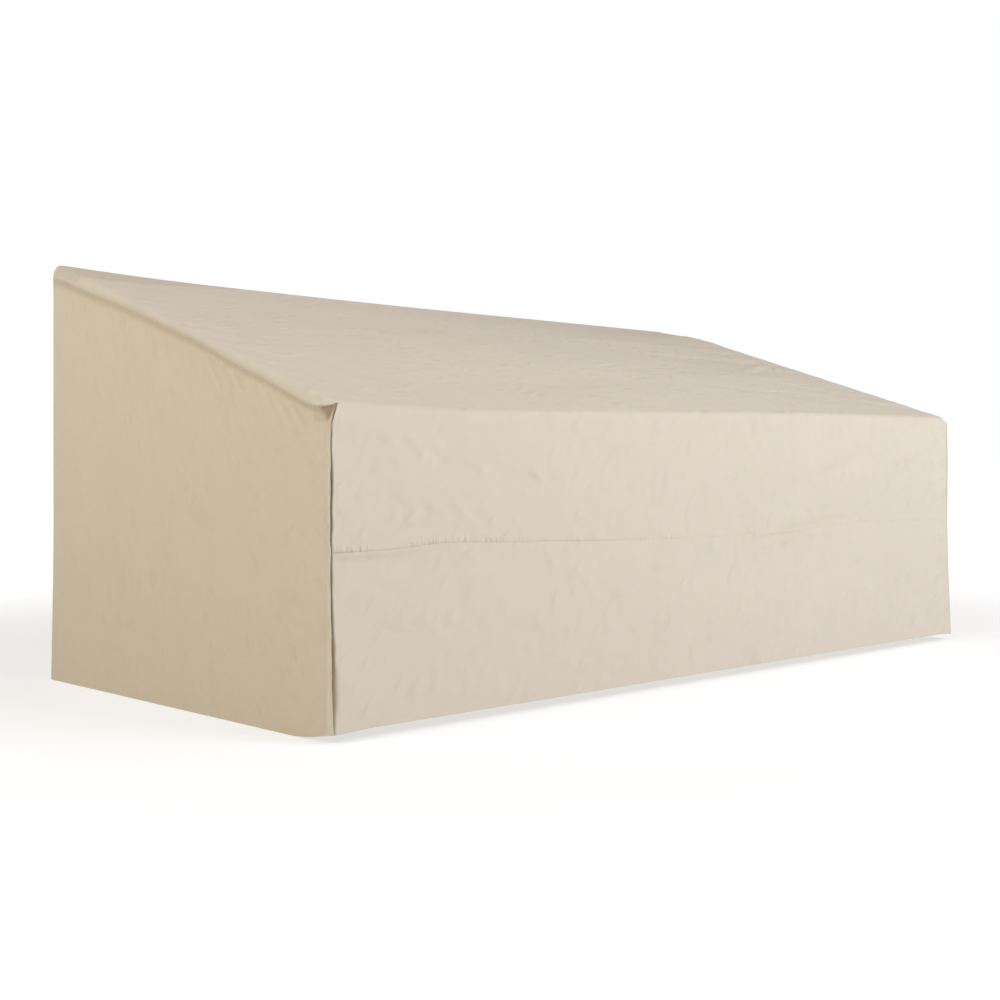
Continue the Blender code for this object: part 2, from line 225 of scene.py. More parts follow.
# Creases and small drag lines that the photo shows one by one. The row with its own taper is a broad roll.
SMALL_FOLDS: dict[Face, list[Row]] = {
    Face.FRONT: [
        (0.10, 0.335, 0.252, 0.384, 0.009, -0.0015), (0.252, 0.384, 0.373, 0.430, 0.009, -0.0016),
        (0.40, 0.430, 0.497, 0.452, 0.008, -0.0009), (0.48, 0.439, 0.64, 0.498, 0.011, -0.0020),
        (0.658, 0.368, 0.811, 0.448, 0.012, -0.0021), (0.811, 0.448, 0.985, 0.530, 0.012, -0.0021),
        (0.15, 0.285, 0.31, 0.309, 0.011, -0.0018), (0.28, 0.305, 0.47, 0.327, 0.011, -0.0024),
        (0.44, 0.325, 0.64, 0.3345, 0.009, -0.0014), (0.26, 0.290, 0.46, 0.310, 0.010, 0.0008),
        (0.114, 0.252, 0.341, 0.284, 0.016, -0.0010), (0.48, 0.122, 0.60, 0.150, 0.012, -0.0012),
        (0.48, 0.052, 0.64, 0.090, 0.012, -0.0012), (-0.06, 0.070, 0.02, 0.084, 0.010, -0.0008),
        (-0.922, 0.424, -0.880, 0.392, 0.010, -0.0012), (-0.813, 0.427, -0.780, 0.405, 0.008, -0.0009),
        (-0.96, 0.306, -0.83, 0.300, 0.008, -0.0016), (-0.978, 0.292, -0.865, 0.240, 0.009, -0.0010),
        (-0.978, 0.270, -0.806, 0.228, 0.009, -0.0009), (-0.966, 0.250, -0.86, 0.205, 0.010, 0.0009),
        (-0.810, 0.212, -0.765, 0.183, 0.006, -0.0010), (-0.725, 0.243, -0.640, 0.238, 0.009, -0.0011),
        (-0.670, 0.207, -0.610, 0.198, 0.008, -0.0011), (-0.443, 0.256, -0.424, 0.196, 0.005, -0.0008),
        (-0.580, 0.097, -0.480, 0.098, 0.007, -0.0010), (-0.849, 0.065, -0.846, 0.036, 0.009, -0.0012),
        (-0.367, 0.503, -0.229, 0.487, 0.008, -0.0006), (-0.364, 0.466, -0.229, 0.462, 0.008, -0.0006),
    ],
    Face.TOP: [
        (0.990, 0.420, 0.990, 0.270, 0.130, 0.0036, 0.5), (0.925, 0.030, 0.70, -0.075, 0.011, 0.0024),
        (0.905, 0.055, 0.80, 0.020, 0.009, -0.0022), (0.904, 0.290, 0.85, 0.130, 0.010, -0.0012),
        (0.867, 0.170, 0.786, 0.007, 0.010, -0.0012), (0.58, -0.137, 0.86, -0.296, 0.012, -0.0011),
        (0.29, -0.234, 0.69, -0.367, 0.012, -0.0010), (0.48, -0.274, 0.95, -0.385, 0.012, -0.0010),
        (0.223, -0.090, 0.190, -0.135, 0.010, -0.0018), (-0.31, -0.365, -0.345, -0.430, 0.007, -0.0010),
        (-0.02, -0.380, -0.080, -0.450, 0.007, -0.0010), (-0.985, -0.440, -0.915, -0.452, 0.006, -0.0016),
        (-0.446, 0.125, -0.447, 0.060, 0.008, -0.0008),
    ],
    Face.LEFT: [
        (0.001, 0.464, -0.062, 0.425, 0.008, -0.0010), (-0.062, 0.425, -0.117, 0.365, 0.008, -0.0009),
        (-0.117, 0.365, -0.143, 0.289, 0.008, -0.0008), (-0.268, 0.298, -0.298, 0.258, 0.006, -0.0008),
        (-0.305, 0.452, -0.316, 0.410, 0.006, -0.0008), (0.355, 0.600, 0.340, 0.564, 0.007, -0.0009),
        (0.122, 0.087, 0.363, 0.034, 0.012, -0.0012), (0.111, 0.176, 0.195, 0.142, 0.009, -0.0008),
        (0.070, 0.276, 0.146, 0.240, 0.009, -0.0008), (0.441, 0.157, 0.480, 0.133, 0.009, -0.0008),
        (-0.436, 0.500, -0.440, 0.440, 0.009, -0.0012),
    ],
}

# Fans of fine drag lines: most leave a seam, and the last six cross the open cloth.
FANS = [
    Fan(Face.LEFT, (0.455, 0.845), (0.10, 0.738), (0.002, -0.085), (-0.030, -0.080), 14, 0.006, 0.0020, 3),
    Fan(Face.LEFT, (0.085, 0.733), (-0.41, 0.566), (-0.045, -0.075), (-0.040, -0.045), 24, 0.006, 0.0020, 4),
    Fan(Face.LEFT, (-0.475, 0.09), (-0.38, 0.04), (0.0, -0.06), (0.0, -0.03), 7, 0.005, 0.0008, 5),
    Fan(Face.RIGHT, (0.455, 0.815), (-0.42, 0.570), (0.002, -0.085), (-0.045, -0.060), 26, 0.007, 0.0010, 6),
    Fan(Face.TOP, (-0.985, 0.42), (-0.985, -0.40), (0.105, -0.015), (0.075, -0.045), 21, 0.008, 0.0010, 7),
    Fan(Face.TOP, (0.985, 0.40), (0.985, -0.42), (-0.12, -0.030), (-0.16, 0.040), 19, 0.009, 0.0012, 8),
    Fan(Face.TOP, (-0.90, -0.455), (0.95, -0.455), (0.01, 0.035), (-0.02, 0.045), 64, 0.007, 0.0005, 9),
    Fan(Face.FRONT, (-0.86, 0.545), (0.95, 0.555), (0.0, -0.032), (-0.006, -0.040), 76, 0.006, 0.0006, 10),
    Fan(Face.FRONT, (-0.982, 0.53), (-0.982, 0.34), (0.030, -0.022), (0.026, -0.012), 9, 0.006, 0.0010, 11),
    Fan(Face.FRONT, (0.975, 0.52), (0.975, 0.36), (-0.16, -0.085), (-0.12, -0.045), 9, 0.009, 0.0013, 12),
    Fan(Face.FRONT, (0.978, 0.25), (0.978, 0.04), (-0.10, -0.045), (-0.12, -0.040), 10, 0.009, 0.0011, 13),
    Fan(Face.BACK, (-0.97, 0.84), (0.97, 0.82), (0.01, -0.075), (-0.01, -0.075), 48, 0.008, 0.0009, 14),
    Fan(Face.FRONT, (-0.94, 0.53), (-0.50, 0.44), (0.060, -0.040), (0.055, -0.018), 15, 0.007, 0.0020, 15),
    Fan(Face.FRONT, (-0.95, 0.43), (-0.62, 0.36), (0.045, -0.040), (0.060, -0.012), 11, 0.007, 0.0018, 16),
    Fan(Face.FRONT, (-0.94, 0.20), (-0.50, 0.14), (0.070, -0.024), (0.080, 0.004), 12, 0.007, 0.0017, 17),
    Fan(Face.FRONT, (-0.86, 0.12), (-0.34, 0.07), (0.080, -0.006), (0.070, 0.006), 11, 0.007, 0.0016, 18),
    Fan(Face.LEFT, (0.30, 0.52), (-0.25, 0.33), (-0.012, -0.060), (-0.030, -0.050), 13, 0.007, 0.0013, 19),
    Fan(Face.LEFT, (0.36, 0.25), (-0.20, 0.16), (-0.030, -0.035), (-0.030, -0.045), 11, 0.008, 0.0012, 20),
]

# Where the folds die out beside a seam or soft edge, and how much higher than in their rows small ones stand.
MAIN_FADE, SMALL_FADE, SMALL_RISE = 0.035, 0.006, 1.7


class Relief:
    """All folds of the cover, face by face."""

    def __init__(self) -> None:
        """Gathers the main folds, the small ones and the fans' lines under their faces."""
        self.main, self.small = (
            {face: [Fold(face, row[:2], row[2:4], *row[4:]) for row in table.get(face, [])] for face in Face}
            for table in (MAIN_FOLDS, SMALL_FOLDS)
        )
        for fan in FANS:
            self.small[fan.face] += fan.folds()

    def at(self, face: Face, across: Array, up: Array, from_seam: Array) -> Array:
        """How far the cloth stands out of a face.

        Args:
            face: the face.
            across: place along the face.
            up: place up or back along it.
            from_seam: distance to the nearest seam or soft edge, where the folds die out.

        Returns:
            The height of all folds at each point.
        """
        main, small = (sum(fold.at(across, up) for fold in folds[face]) for folds in (self.main, self.small))
        return main * eased(from_seam / MAIN_FADE) + SMALL_RISE * small * eased(from_seam / SMALL_FADE)


# ---------------------------------------------------------------- the cover's form


# The cover's uneven lines: the soft front edge, the level seam and the ridge by x, and the left sloping seam
# by y. The ridge also has how far the top has slumped below the straight slope.
FRONT_EDGE = Table([
    (-1.005, 0.571), (-0.93, 0.566), (-0.82, 0.563), (-0.66, 0.559), (-0.43, 0.562), (-0.03, 0.568),
    (0.35, 0.574), (1.005, 0.575),
])
LEVEL_SEAM = Table([
    (-1.005, 0.316), (-0.86, 0.318), (-0.77, 0.323), (-0.60, 0.319), (-0.28, 0.309), (0.00, 0.305),
    (0.34, 0.308), (0.56, 0.318), (0.78, 0.316), (1.005, 0.311),
])
RIDGE = Table(
    [
        (-1.005, 0.892, 0.000), (-0.78, 0.882, 0.002), (-0.40, 0.874, 0.004), (0.00, 0.869, 0.007),
        (0.60, 0.865, 0.013), (1.005, 0.862, 0.018),
    ],
    columns=("height", "droop"),
)
SLOPE_SEAM = Table([
    (-0.4725, 0.5600), (-0.4560, 0.5610), (-0.4350, 0.5665), (-0.3985, 0.5790), (-0.3105, 0.612),
    (-0.2175, 0.643), (-0.1195, 0.680), (0.0375, 0.731), (0.1495, 0.766), (0.3295, 0.817), (0.4595, 0.853),
    (0.4895, 0.857),
])

# The upright front seams by height: the inset from the side face, how deep the seam is sunk behind the front
# face (a proud ear is below zero) and, on the right, how far the side sheet's turned edge stands out there.
CORNERS = {
    LEFT: Table(
        [
            (0.014, 0.0040, 0.003), (0.030, 0.0030, 0.005), (0.060, 0.0022, 0.009), (0.109, 0.0020, 0.010),
            (0.159, 0.0020, 0.010), (0.209, 0.0020, 0.009), (0.259, 0.0020, 0.007), (0.316, 0.0022, 0.006),
            (0.345, 0.0020, 0.007), (0.392, 0.0018, 0.010), (0.442, 0.0018, 0.011), (0.470, 0.0020, 0.006),
            (0.495, 0.0020, 0.005), (0.525, 0.0030, 0.004), (0.567, 0.0060, -0.011),
        ],
        columns=("inset", "sunk"),
    ),
    RIGHT: Table(
        [
            (0.013, 0.004, 0.003, 0.002), (0.090, 0.003, 0.003, 0.003), (0.316, 0.002, 0.002, 0.003),
            (0.520, 0.002, 0.002, 0.003), (0.566, 0.003, 0.003, 0.003),
        ],
        columns=("inset", "sunk", "welt"),
    ),
}

# The grooves beside those seams by height: the width, how softly the front cloth dives in (0 for a crisp
# fold, 1 for a slow curve) and how far the side sheet's folded lip stands out in front of the front face.
GROOVE_COLUMNS = ("width", "softness", "lip")
GROOVES = {
    LEFT: Table(
        [
            (0.014, 0.003, 0.4, -0.0005), (0.030, 0.006, 0.6, -0.0010), (0.060, 0.015, 0.9, -0.0010),
            (0.109, 0.014, 0.7, -0.0020), (0.135, 0.008, 0.2, -0.0010), (0.159, 0.009, 0.2, -0.0018),
            (0.185, 0.005, 0.0, -0.0005), (0.209, 0.0055, 0.0, -0.0020), (0.245, 0.0035, 0.0, -0.0015),
            (0.275, 0.0045, 0.0, -0.0022), (0.305, 0.0035, 0.0, -0.0010), (0.319, 0.0025, 0.0, 0.0005),
            (0.335, 0.0032, 0.0, -0.0020), (0.365, 0.0048, 0.0, -0.0012), (0.392, 0.0040, 0.0, -0.0018),
            (0.425, 0.0050, 0.0, -0.0006), (0.448, 0.0056, 0.0, -0.0014), (0.462, 0.0045, 0.0, -0.0004),
            (0.478, 0.0032, 0.0, -0.0008), (0.500, 0.0028, 0.1, -0.0014), (0.525, 0.0032, 0.3, -0.0008),
            (0.567, 0.0200, 1.0, 0.0000),
        ],
        columns=GROOVE_COLUMNS,
    ),
    RIGHT: Table([(0.0, 0.014, 1.0, 0.0), (0.6, 0.014, 1.0, 0.0)], columns=GROOVE_COLUMNS),
}

# How wide the painted shade band under the sloping shoulder is, by y.
SHADED_BAND = Table([(-0.49, 0.007), (-0.40, 0.008), (-0.20, 0.009), (0.10, 0.011), (0.48, 0.012)])

# How deep the cloth dives into the level seam, by x.
LEVEL_DIPS = Table([
    (-1.000, 0.0016), (-0.900, 0.0014), (-0.750, 0.0012), (-0.550, 0.0011), (-0.300, 0.0010),
    (-0.150, 0.0006), (0.000, 0.0005), (0.300, 0.0005), (0.400, 0.0008), (0.560, 0.0006), (1.000, 0.0004),
])

# How strongly the front cloth is puckered along the level seam, by x.
PUCKERS = Table([
    (-1.000, 1.0), (-0.930, 1.0), (-0.900, 0.3), (-0.850, 0.3), (-0.820, 0.9), (-0.730, 0.8), (-0.640, 0.9),
    (-0.520, 0.3), (-0.400, 0.7), (-0.330, 0.3), (-0.200, 0.8), (-0.050, 0.3), (0.200, 0.1), (0.500, 0.1),
    (0.700, 0.3), (1.000, 0.1),
])


@dataclass
class CoverForm:
    """The outer shape over the hidden sofa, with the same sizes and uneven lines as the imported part."""

    # outer sizes and the cloth
    half_width: float = 1.007
    front: float = -0.4855
    back: float = 0.4945
    cloth: float = 0.0015
    seam_gap: float = 0.0001

    # walls, flared below the level seam
    flare_top: float = 0.316
    front_flare: float = 0.012
    side_flare: float = 0.004
    back_flare: float = 0.003
    flare_curve: float = 1.3

    # edges, shoulders and seams
    fold_round: float = 0.016
    ridge_round: float = 0.018
    slump_start: float = 0.72
    back_seam_drop: float = 0.032
    roll: float = 0.022
    shoulder: float = 0.017
    crown: float = 0.005
    right_crown: float = 0.001
    crown_reach: float = 0.020
    tuck: float = 0.010
    tuck_reach: float = 0.024
    proud_from: float = 0.003
    seam_dip: float = 0.0006
    seam_reach: float = 0.006
    seam_curve: float = 1.6
    lip_thickness: float = 0.003
    pocket_rear: tuple[float, float] = (-0.439, 0.5600)
    pocket_rise: float = 0.72
    side_trough: float = 0.0015
    trough_wave: tuple[float, float, float] = (0.7, 0.5, 41.0)
    lip_shares: tuple[float, float] = (0.35, 0.75)
    crown_rear: tuple[float, float, float] = (0.36, 0.11, 0.6)
    tuck_from: float = -0.462
    tuck_fade: float = 0.035
    back_corner_inset: float = 0.006
    back_corner_room: float = 0.001
    turn_slack: float = 0.005

    # hems
    corner_hem: float = 0.0145
    hem_sweep: float = 0.115
    front_hem: float = 0.0175
    front_hem_sweep: float = 0.080

    # painted shade in the groove, shoulder band, rear corner and pocket: how dark each is, where it starts
    # and how softly it fades
    groove_dark: float = 0.72
    groove_reach: float = 0.025
    groove_hold: float = 1.4
    groove_edge: float = 0.005
    groove_depth: float = 0.03
    groove_fade: float = 0.01
    band_dark: float = 0.34
    band_middle: float = 0.005
    band_front: float = 0.02
    rear_dark: float = 0.19
    rear_start: tuple[float, float] = (0.37, 0.475)
    rear_turn: tuple[float, float] = (-1.0, 0.5)
    rear_end: tuple[float, float] = (-0.35, 0.25)
    rear_fade: float = 0.04
    pocket_dark: float = 0.8
    pocket_front: float = -0.49
    pocket_edge: tuple[float, float] = (0.004, 0.018)
    pocket_end: tuple[float, float] = (0.008, 0.026)
    pocket_lip: float = 0.0015
    ear_top: float = 0.545
    ear_fade: float = 0.03

    def __post_init__(self) -> None:
        """Works out where the straight slope of the top begins and ends, and gathers the folds."""
        self.slope_start = self.front + self.fold_round
        self.slope_end = self.back - self.ridge_round
        self.relief = Relief()

    # faces

    def flare(self, height: Array, amount: float) -> Array:
        """How far a wall has leant out at a height below the level seam."""
        return amount * np.maximum(0.0, 1 - height / self.flare_top) ** self.flare_curve

    def front_y(self, height: Array) -> Array:
        """The front wall's y at a height."""
        return self.front - self.flare(height, self.front_flare)

    def back_y(self, height: Array) -> Array:
        """The back wall's y at a height."""
        return self.back + self.flare(height, self.back_flare)

    def side_x(self, side: int, height: Array) -> Array:
        """A side wall's x at a height; side is -1 on the left and 1 on the right."""
        return side * (self.half_width + self.flare(height, self.side_flare))

    def front_edge_z(self, x: Array) -> Array:
        """Height of the soft front edge."""
        return FRONT_EDGE.read(x)

    def ridge_z(self, x: Array) -> Array:
        """Height of the ridge."""
        return RIDGE.read(x)

    def level_seam_z(self, x: Array) -> Array:
        """Height of the level seam across the front."""
        return LEVEL_SEAM.read(x)

    def back_seam_z(self, x: Array) -> Array:
        """Height of the seam along the top of the back."""
        return self.ridge_z(x) - self.back_seam_drop

    def fold_start_z(self, x: Array) -> Array:
        """Height at which the front wall starts to turn over the soft front edge."""
        return self.front_edge_z(x) - self.fold_round

    def top_z(self, x: Array, y: Array) -> Array:
        """The sloping top, straight from the soft front edge and slumping towards the ridge.

        Args:
            x: place along the sofa.
            y: place from front to back.

        Returns:
            The top's height at each point.
        """
        droop = RIDGE.read(x, "droop")
        share = (y - self.front) / (self.back - self.front)
        slump = eased((share - self.slump_start) / (1 - self.slump_start))
        return lerp(self.front_edge_z(x), self.ridge_z(x) + droop, share) - droop * slump

    def slope_seam_z(self, side: int, y: Array) -> Array:
        """Height of a sloping seam. The right one lies as far below its edge as the left one does.

        Args:
            side: the seam's side, LEFT or RIGHT.
            y: place from front to back.

        Returns:
            The seam's height at each y.
        """
        left = SLOPE_SEAM.read(y)
        if side == LEFT:
            return left
        return left - self.top_z(-self.half_width, y) + self.top_z(self.half_width, y)

    def side_hem_z(self, y: Array) -> Array:
        """Height of a side hem, swept up towards the front corner."""
        return self.corner_hem * np.maximum(0.0, 1 - (y - self.front) / self.hem_sweep) ** 2

    def front_hem_z(self, x: Array) -> Array:
        """Height of the front hem, a little lower at the corners."""
        inward = (self.half_width - np.abs(x)) / self.front_hem_sweep
        return lerp(self.corner_hem, self.front_hem, eased(inward))

    # sewn edges

    def front_corner(self, side: int, height: Array) -> Array:
        """Points of the upright seam at a front corner."""
        x = self.side_x(side, height) - side * CORNERS[side].read(height, "inset")
        return points(x, self.front_y(height) + CORNERS[side].read(height, "sunk"), height)

    def peak_height(self, side: int) -> float:
        """Height of the top of an upright front seam. The left one is the tip of the ear."""
        return CORNERS[side].rows[-1][0]

    def spread(self, side: int, height: Array) -> Array:
        """Extra room on each side of an upright seam where it stands proud, for the cloth's thickness."""
        sunk = CORNERS[side].read(height, "sunk")
        return self.cloth * np.clip((self.proud_from - sunk) / self.proud_from, 0.0, 1.0)

    def crown_out(self, side: int, y: Array) -> Array:
        """How far the rounded shoulder over a sloping seam stands out of the side face."""
        start, run, loss = self.crown_rear
        return (self.crown if side == LEFT else self.right_crown) * (1 - loss * eased((y - start) / run))

    def tuck_in(self, side: int, y: Array) -> Array:
        """How far the sloping seam is tucked in under the left corner's ear.

        Args:
            side: the seam's side, LEFT or RIGHT.
            y: place from front to back.

        Returns:
            The tuck's depth at each y, 0 on the right.
        """
        if side == RIGHT:
            return 0.0 * y
        return self.tuck * (1 - eased((y - self.tuck_from) / self.tuck_fade))

    def slope_edge(self, side: int, y: Array) -> Array:
        """Points of a sloping seam."""
        out = self.crown_out(side, y) - self.tuck_in(side, y)
        return points(side * (self.half_width + out), y, self.slope_seam_z(side, y))

    def groove_painted_shade(self, place: Array) -> Array:
        """How much painted shade darkens the cloth down in the groove at the left corner.

        Args:
            place: the grid's points.

        Returns:
            How dark each point is, from 0 to 1.
        """
        depth = place[..., 1] - self.front_y(place[..., 2])
        beside = eased(self.groove_hold - (place[..., 0] + self.half_width) / self.groove_reach)
        inside = eased(depth / self.groove_edge) * eased((self.groove_depth - depth) / self.groove_fade)
        return self.groove_dark * beside * inside

    def shaded_band(self, side: int, place: Array) -> Array:
        """How much painted shade darkens the cloth in the band where it tucks in under a sloping seam.

        Args:
            side: the seam's side, LEFT or RIGHT.
            place: the grid's points.

        Returns:
            How dark each point is, from 0 to 1.
        """
        y = place[..., 1]
        below = self.slope_seam_z(side, y) - place[..., 2]
        band = np.exp(-(((below - self.band_middle) / SHADED_BAND.read(y)) ** 2))
        return self.band_dark * band * (y > self.slope_start - self.band_front)

    def rear_corner_painted_shade(self, place: Array) -> Array:
        """How much painted shade dulls the cloth on the left of the ridge, over the corner of the sofa's
        back.

        Args:
            place: the grid's points.

        Returns:
            How dark each point is, from 0 to 1.
        """
        x, y = place[..., 0], place[..., 1]
        start = lerp(*self.rear_start, eased((x - self.rear_turn[0]) / self.rear_turn[1]))
        along = eased((self.rear_end[0] - x) / self.rear_end[1])
        return self.rear_dark * eased((y - start) / self.rear_fade + 0.5) * along

    def below_ear(self, height: Array) -> Array:
        """1 below the left corner's ear, eased down to 0 at its top."""
        return eased((self.ear_top - height) / self.ear_fade)

    def pocket_painted_shade(self, place: Array) -> Array:
        """How much painted shade darkens the cloth in the three-cornered pocket under the left corner's ear.

        Args:
            place: the grid's points.

        Returns:
            How dark each point is, from 0 to 1.
        """
        x, y, z = place[..., 0], place[..., 1], place[..., 2]
        (below, edge_fade), (behind, end_fade) = self.pocket_edge, self.pocket_end
        rear_y, rear_z = self.pocket_rear
        lower_edge = rear_z + (np.maximum(y, self.pocket_front) - rear_y) * self.pocket_rise
        on_lip = eased((-self.half_width + self.pocket_lip - x) / self.pocket_lip) * (y < self.slope_start)
        rear = eased((rear_y + behind - y) / end_fade)
        return self.pocket_dark * eased((z - lower_edge + below) / edge_fade) * rear * (1 - on_lip)

    def back_corner(self, side: int, height: Array) -> Array:
        """Points of the upright seam at a back corner."""
        x = self.side_x(side, height) - side * self.back_corner_inset
        return points(x, self.back_y(height) - self.back_corner_inset / 2, height)

    def back_corner_top(self, side: int) -> Array:
        """Height at which a side sheet and the back sheet end at their common corner."""
        return self.back_seam_z(side * self.half_width) - self.seam_gap / 2 - self.back_corner_room

    def dip(self, distance: Array) -> Array:
        """How deep the cloth dives beside the back seam at a distance from it."""
        return self.seam_dip * np.maximum(0.0, 1 - distance / self.seam_reach) ** 2

    def level_dip(self, x: Array, distance: Array) -> Array:
        """How deep the cloth dives beside the level seam at a distance from it."""
        return LEVEL_DIPS.read(x) * np.maximum(0.0, 1 - distance / self.seam_reach) ** self.seam_curve


def points(x: Array, y: Array, z: Array) -> Array:
    """Stacks three coordinates, broadcast to one shape, into points."""
    return np.stack(np.broadcast_arrays(*(np.asarray(part, float) for part in (x, y, z))), axis=-1)


def walked(line: Array) -> Array:
    """Distance along a line of points, from its first one to each."""
    return np.concatenate([[0.0], np.cumsum(np.linalg.norm(np.diff(line, axis=0), axis=1))])


# ---------------------------------------------------------------- sheets


@dataclass
class Sheet:
    """One sewn sheet: a grid of rows from bottom to top and columns from left to right, seen from outside."""

    form: CoverForm
    name: str
    node: str
    slot: str
    flat: tuple[float, float]
    flat_area: float
    wall_rows: int = 60
    grading: float = 1.25
    creases: float = 1.0
    crisp_angle: float = 55.0

    def shares(self) -> Array:
        """Share of the way up at each row of a wall, closer together near its top seam."""
        return 1 - graded(self.wall_rows, self.grading)[::-1]

    def grid(self) -> Array:
        """Places the sheet's points, as rows x columns x 3."""
        raise NotImplementedError

    def wear(self, place: Array) -> dict[str, Array]:
        """The finish's layers over the grid.

        Args:
            place: the grid's points.

        Returns:
            From 0 to 1, how much painted shade darkens the cloth, how puckered it is, and how far it has
            turned into a sloping edge, with its painted light and shade. Then how creased it is, as a factor
            of the finish's creases.
        """
        plain = 0 * place[..., 0]
        return {PAINTED_SHADE: plain, PUCKER: plain, EDGE_LIGHT_AND_SHADE: plain, CREASE: plain + self.creases}

    def build(self, finish: "CanvasFinish") -> bpy.types.Object:
        """Makes the sheet: a grid laid over its points, with cloth coordinates, thickness and finish.

        Args:
            finish: the canvas that it is cut from.

        Returns:
            The finished piece.
        """
        place = self.grid()
        rows, columns = place.shape[:2]
        deselect_all()
        bpy.ops.mesh.primitive_grid_add(x_subdivisions=columns - 1, y_subdivisions=rows - 1, size=2.0)
        piece = bpy.context.active_object
        piece.name = piece.data.name = self.name
        mesh = piece.data
        flat = np.empty(len(mesh.vertices) * 3)
        mesh.vertices.foreach_get("co", flat)
        flat = flat.reshape(-1, 3)
        column = np.rint((flat[:, 0] + 1) / 2 * (columns - 1)).astype(int)
        row = np.rint((flat[:, 1] + 1) / 2 * (rows - 1)).astype(int)
        mesh.vertices.foreach_set("co", place[row, column].ravel())
        self.lay_cloth_coordinates(mesh, place, row, column)
        for name, values in self.wear(place).items():
            layer = mesh.attributes.new(name, "FLOAT", "POINT")
            layer.data.foreach_set("value", values[row, column].ravel())
        mesh.update()
        thickness = piece.modifiers.new("Cloth thickness", "SOLIDIFY")
        thickness.thickness = self.form.cloth
        thickness.offset = -1.0
        bpy.ops.object.modifier_apply(modifier=thickness.name)
        bpy.ops.object.shade_smooth_by_angle(angle=math.radians(self.crisp_angle))
        mesh.materials.clear()
        mesh.materials.append(finish.material())
        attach(piece, "root")
        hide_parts(self.node)
        return piece

    @staticmethod
    def lay_cloth_coordinates(mesh: bpy.types.Mesh, place: Array, row: Array, column: Array) -> None:
        """Gives the mesh a UV map in metres of cloth, measured along the middle row and the middle column.

        Args:
            mesh: the sheet's mesh.
            place: the grid's points.
            row: each vertex's row of the grid.
            column: each vertex's column of the grid.
        """
        across = walked(place[place.shape[0] // 2])
        along = walked(place[:, place.shape[1] // 2])
        corner_vertex = np.empty(len(mesh.loops), dtype=np.int32)
        mesh.loops.foreach_get("vertex_index", corner_vertex)
        cloth = np.stack([across[column], along[row]], axis=-1)[corner_vertex]
        mesh.uv_layers.active.name = CLOTH_MAP
        mesh.uv_layers.active.data.foreach_set("uv", cloth.ravel())


def deselect_all() -> None:
    """Leaves nothing selected, so that the next operator acts on its own piece alone."""
    bpy.ops.object.select_all(action="DESELECT")


@dataclass
class AcrossSheet(Sheet):
    """A sheet that spans the cover from one side edge to the other."""

    straight_columns: int = 240
    roll_columns: int = 9
    dive_spacing: float = 1.5
    crisp_start: float = 1.35
    crisp_end: float = 1.8

    def straight(self, x: Array) -> Array:
        """The sheet between its side rolls, at each x, as rows x columns x 3."""
        raise NotImplementedError

    def roll(self, side: int, start: Array, share: Array) -> Array:
        """The turn from the last straight points to the sewn end, as rows x shares x 3."""
        raise NotImplementedError

    def columns(self) -> tuple[Array, Array]:
        """The x of each column between the side rolls, and the shares of the columns of a roll."""
        half = self.form.half_width - self.form.roll
        return np.linspace(-half, half, self.straight_columns + 1), graded(self.roll_columns, 1.0)[1:]

    def inward(self, x: Array) -> Array:
        """Room for folds at each x: the distance to the nearer side roll, and the fade beside it."""
        return self.form.half_width - self.form.roll - np.abs(x)[None] + SMALL_FADE

    def grid(self) -> Array:
        """Places the sheet from its left seam to its right one.

        Returns:
            The points as rows x columns x 3.
        """
        x, share = self.columns()
        body = self.straight(x)
        left = self.roll(LEFT, body[:, 0], share)
        right = self.roll(RIGHT, body[:, -1], share)
        return np.concatenate([left[:, ::-1], body, right], axis=1)

    def dive(self, side: int, start: Array, end: Array, share: Array) -> Array:
        """The front cloth's dive into the groove beside an upright seam.

        Args:
            side: the seam's side.
            start: where the plain cloth ends, as rows x 3.
            end: the seam's points, as rows x 3.
            share: shares from start to end.

        Returns:
            The points as rows x shares x 3, closer together near the seam.
        """
        width = GROOVES[side].read(end[:, 2], "width")[:, None]
        softness = GROOVES[side].read(end[:, 2], "softness")[:, None]
        run = (1 - (1 - share) ** self.dive_spacing)[None]
        x = lerp(start[:, 0, None], end[:, 0, None], run)
        into = np.clip(1 - np.abs(end[:, 0, None] - x) / width, 0.0, 1.0)
        crisp = 1 - (1 - into**self.crisp_start) ** self.crisp_end
        y = start[:, 1, None] + (end[:, 1] - start[:, 1])[:, None] * lerp(crisp, into**2, softness)
        return points(x, y, lerp(start[:, 2, None], end[:, 2, None], run))


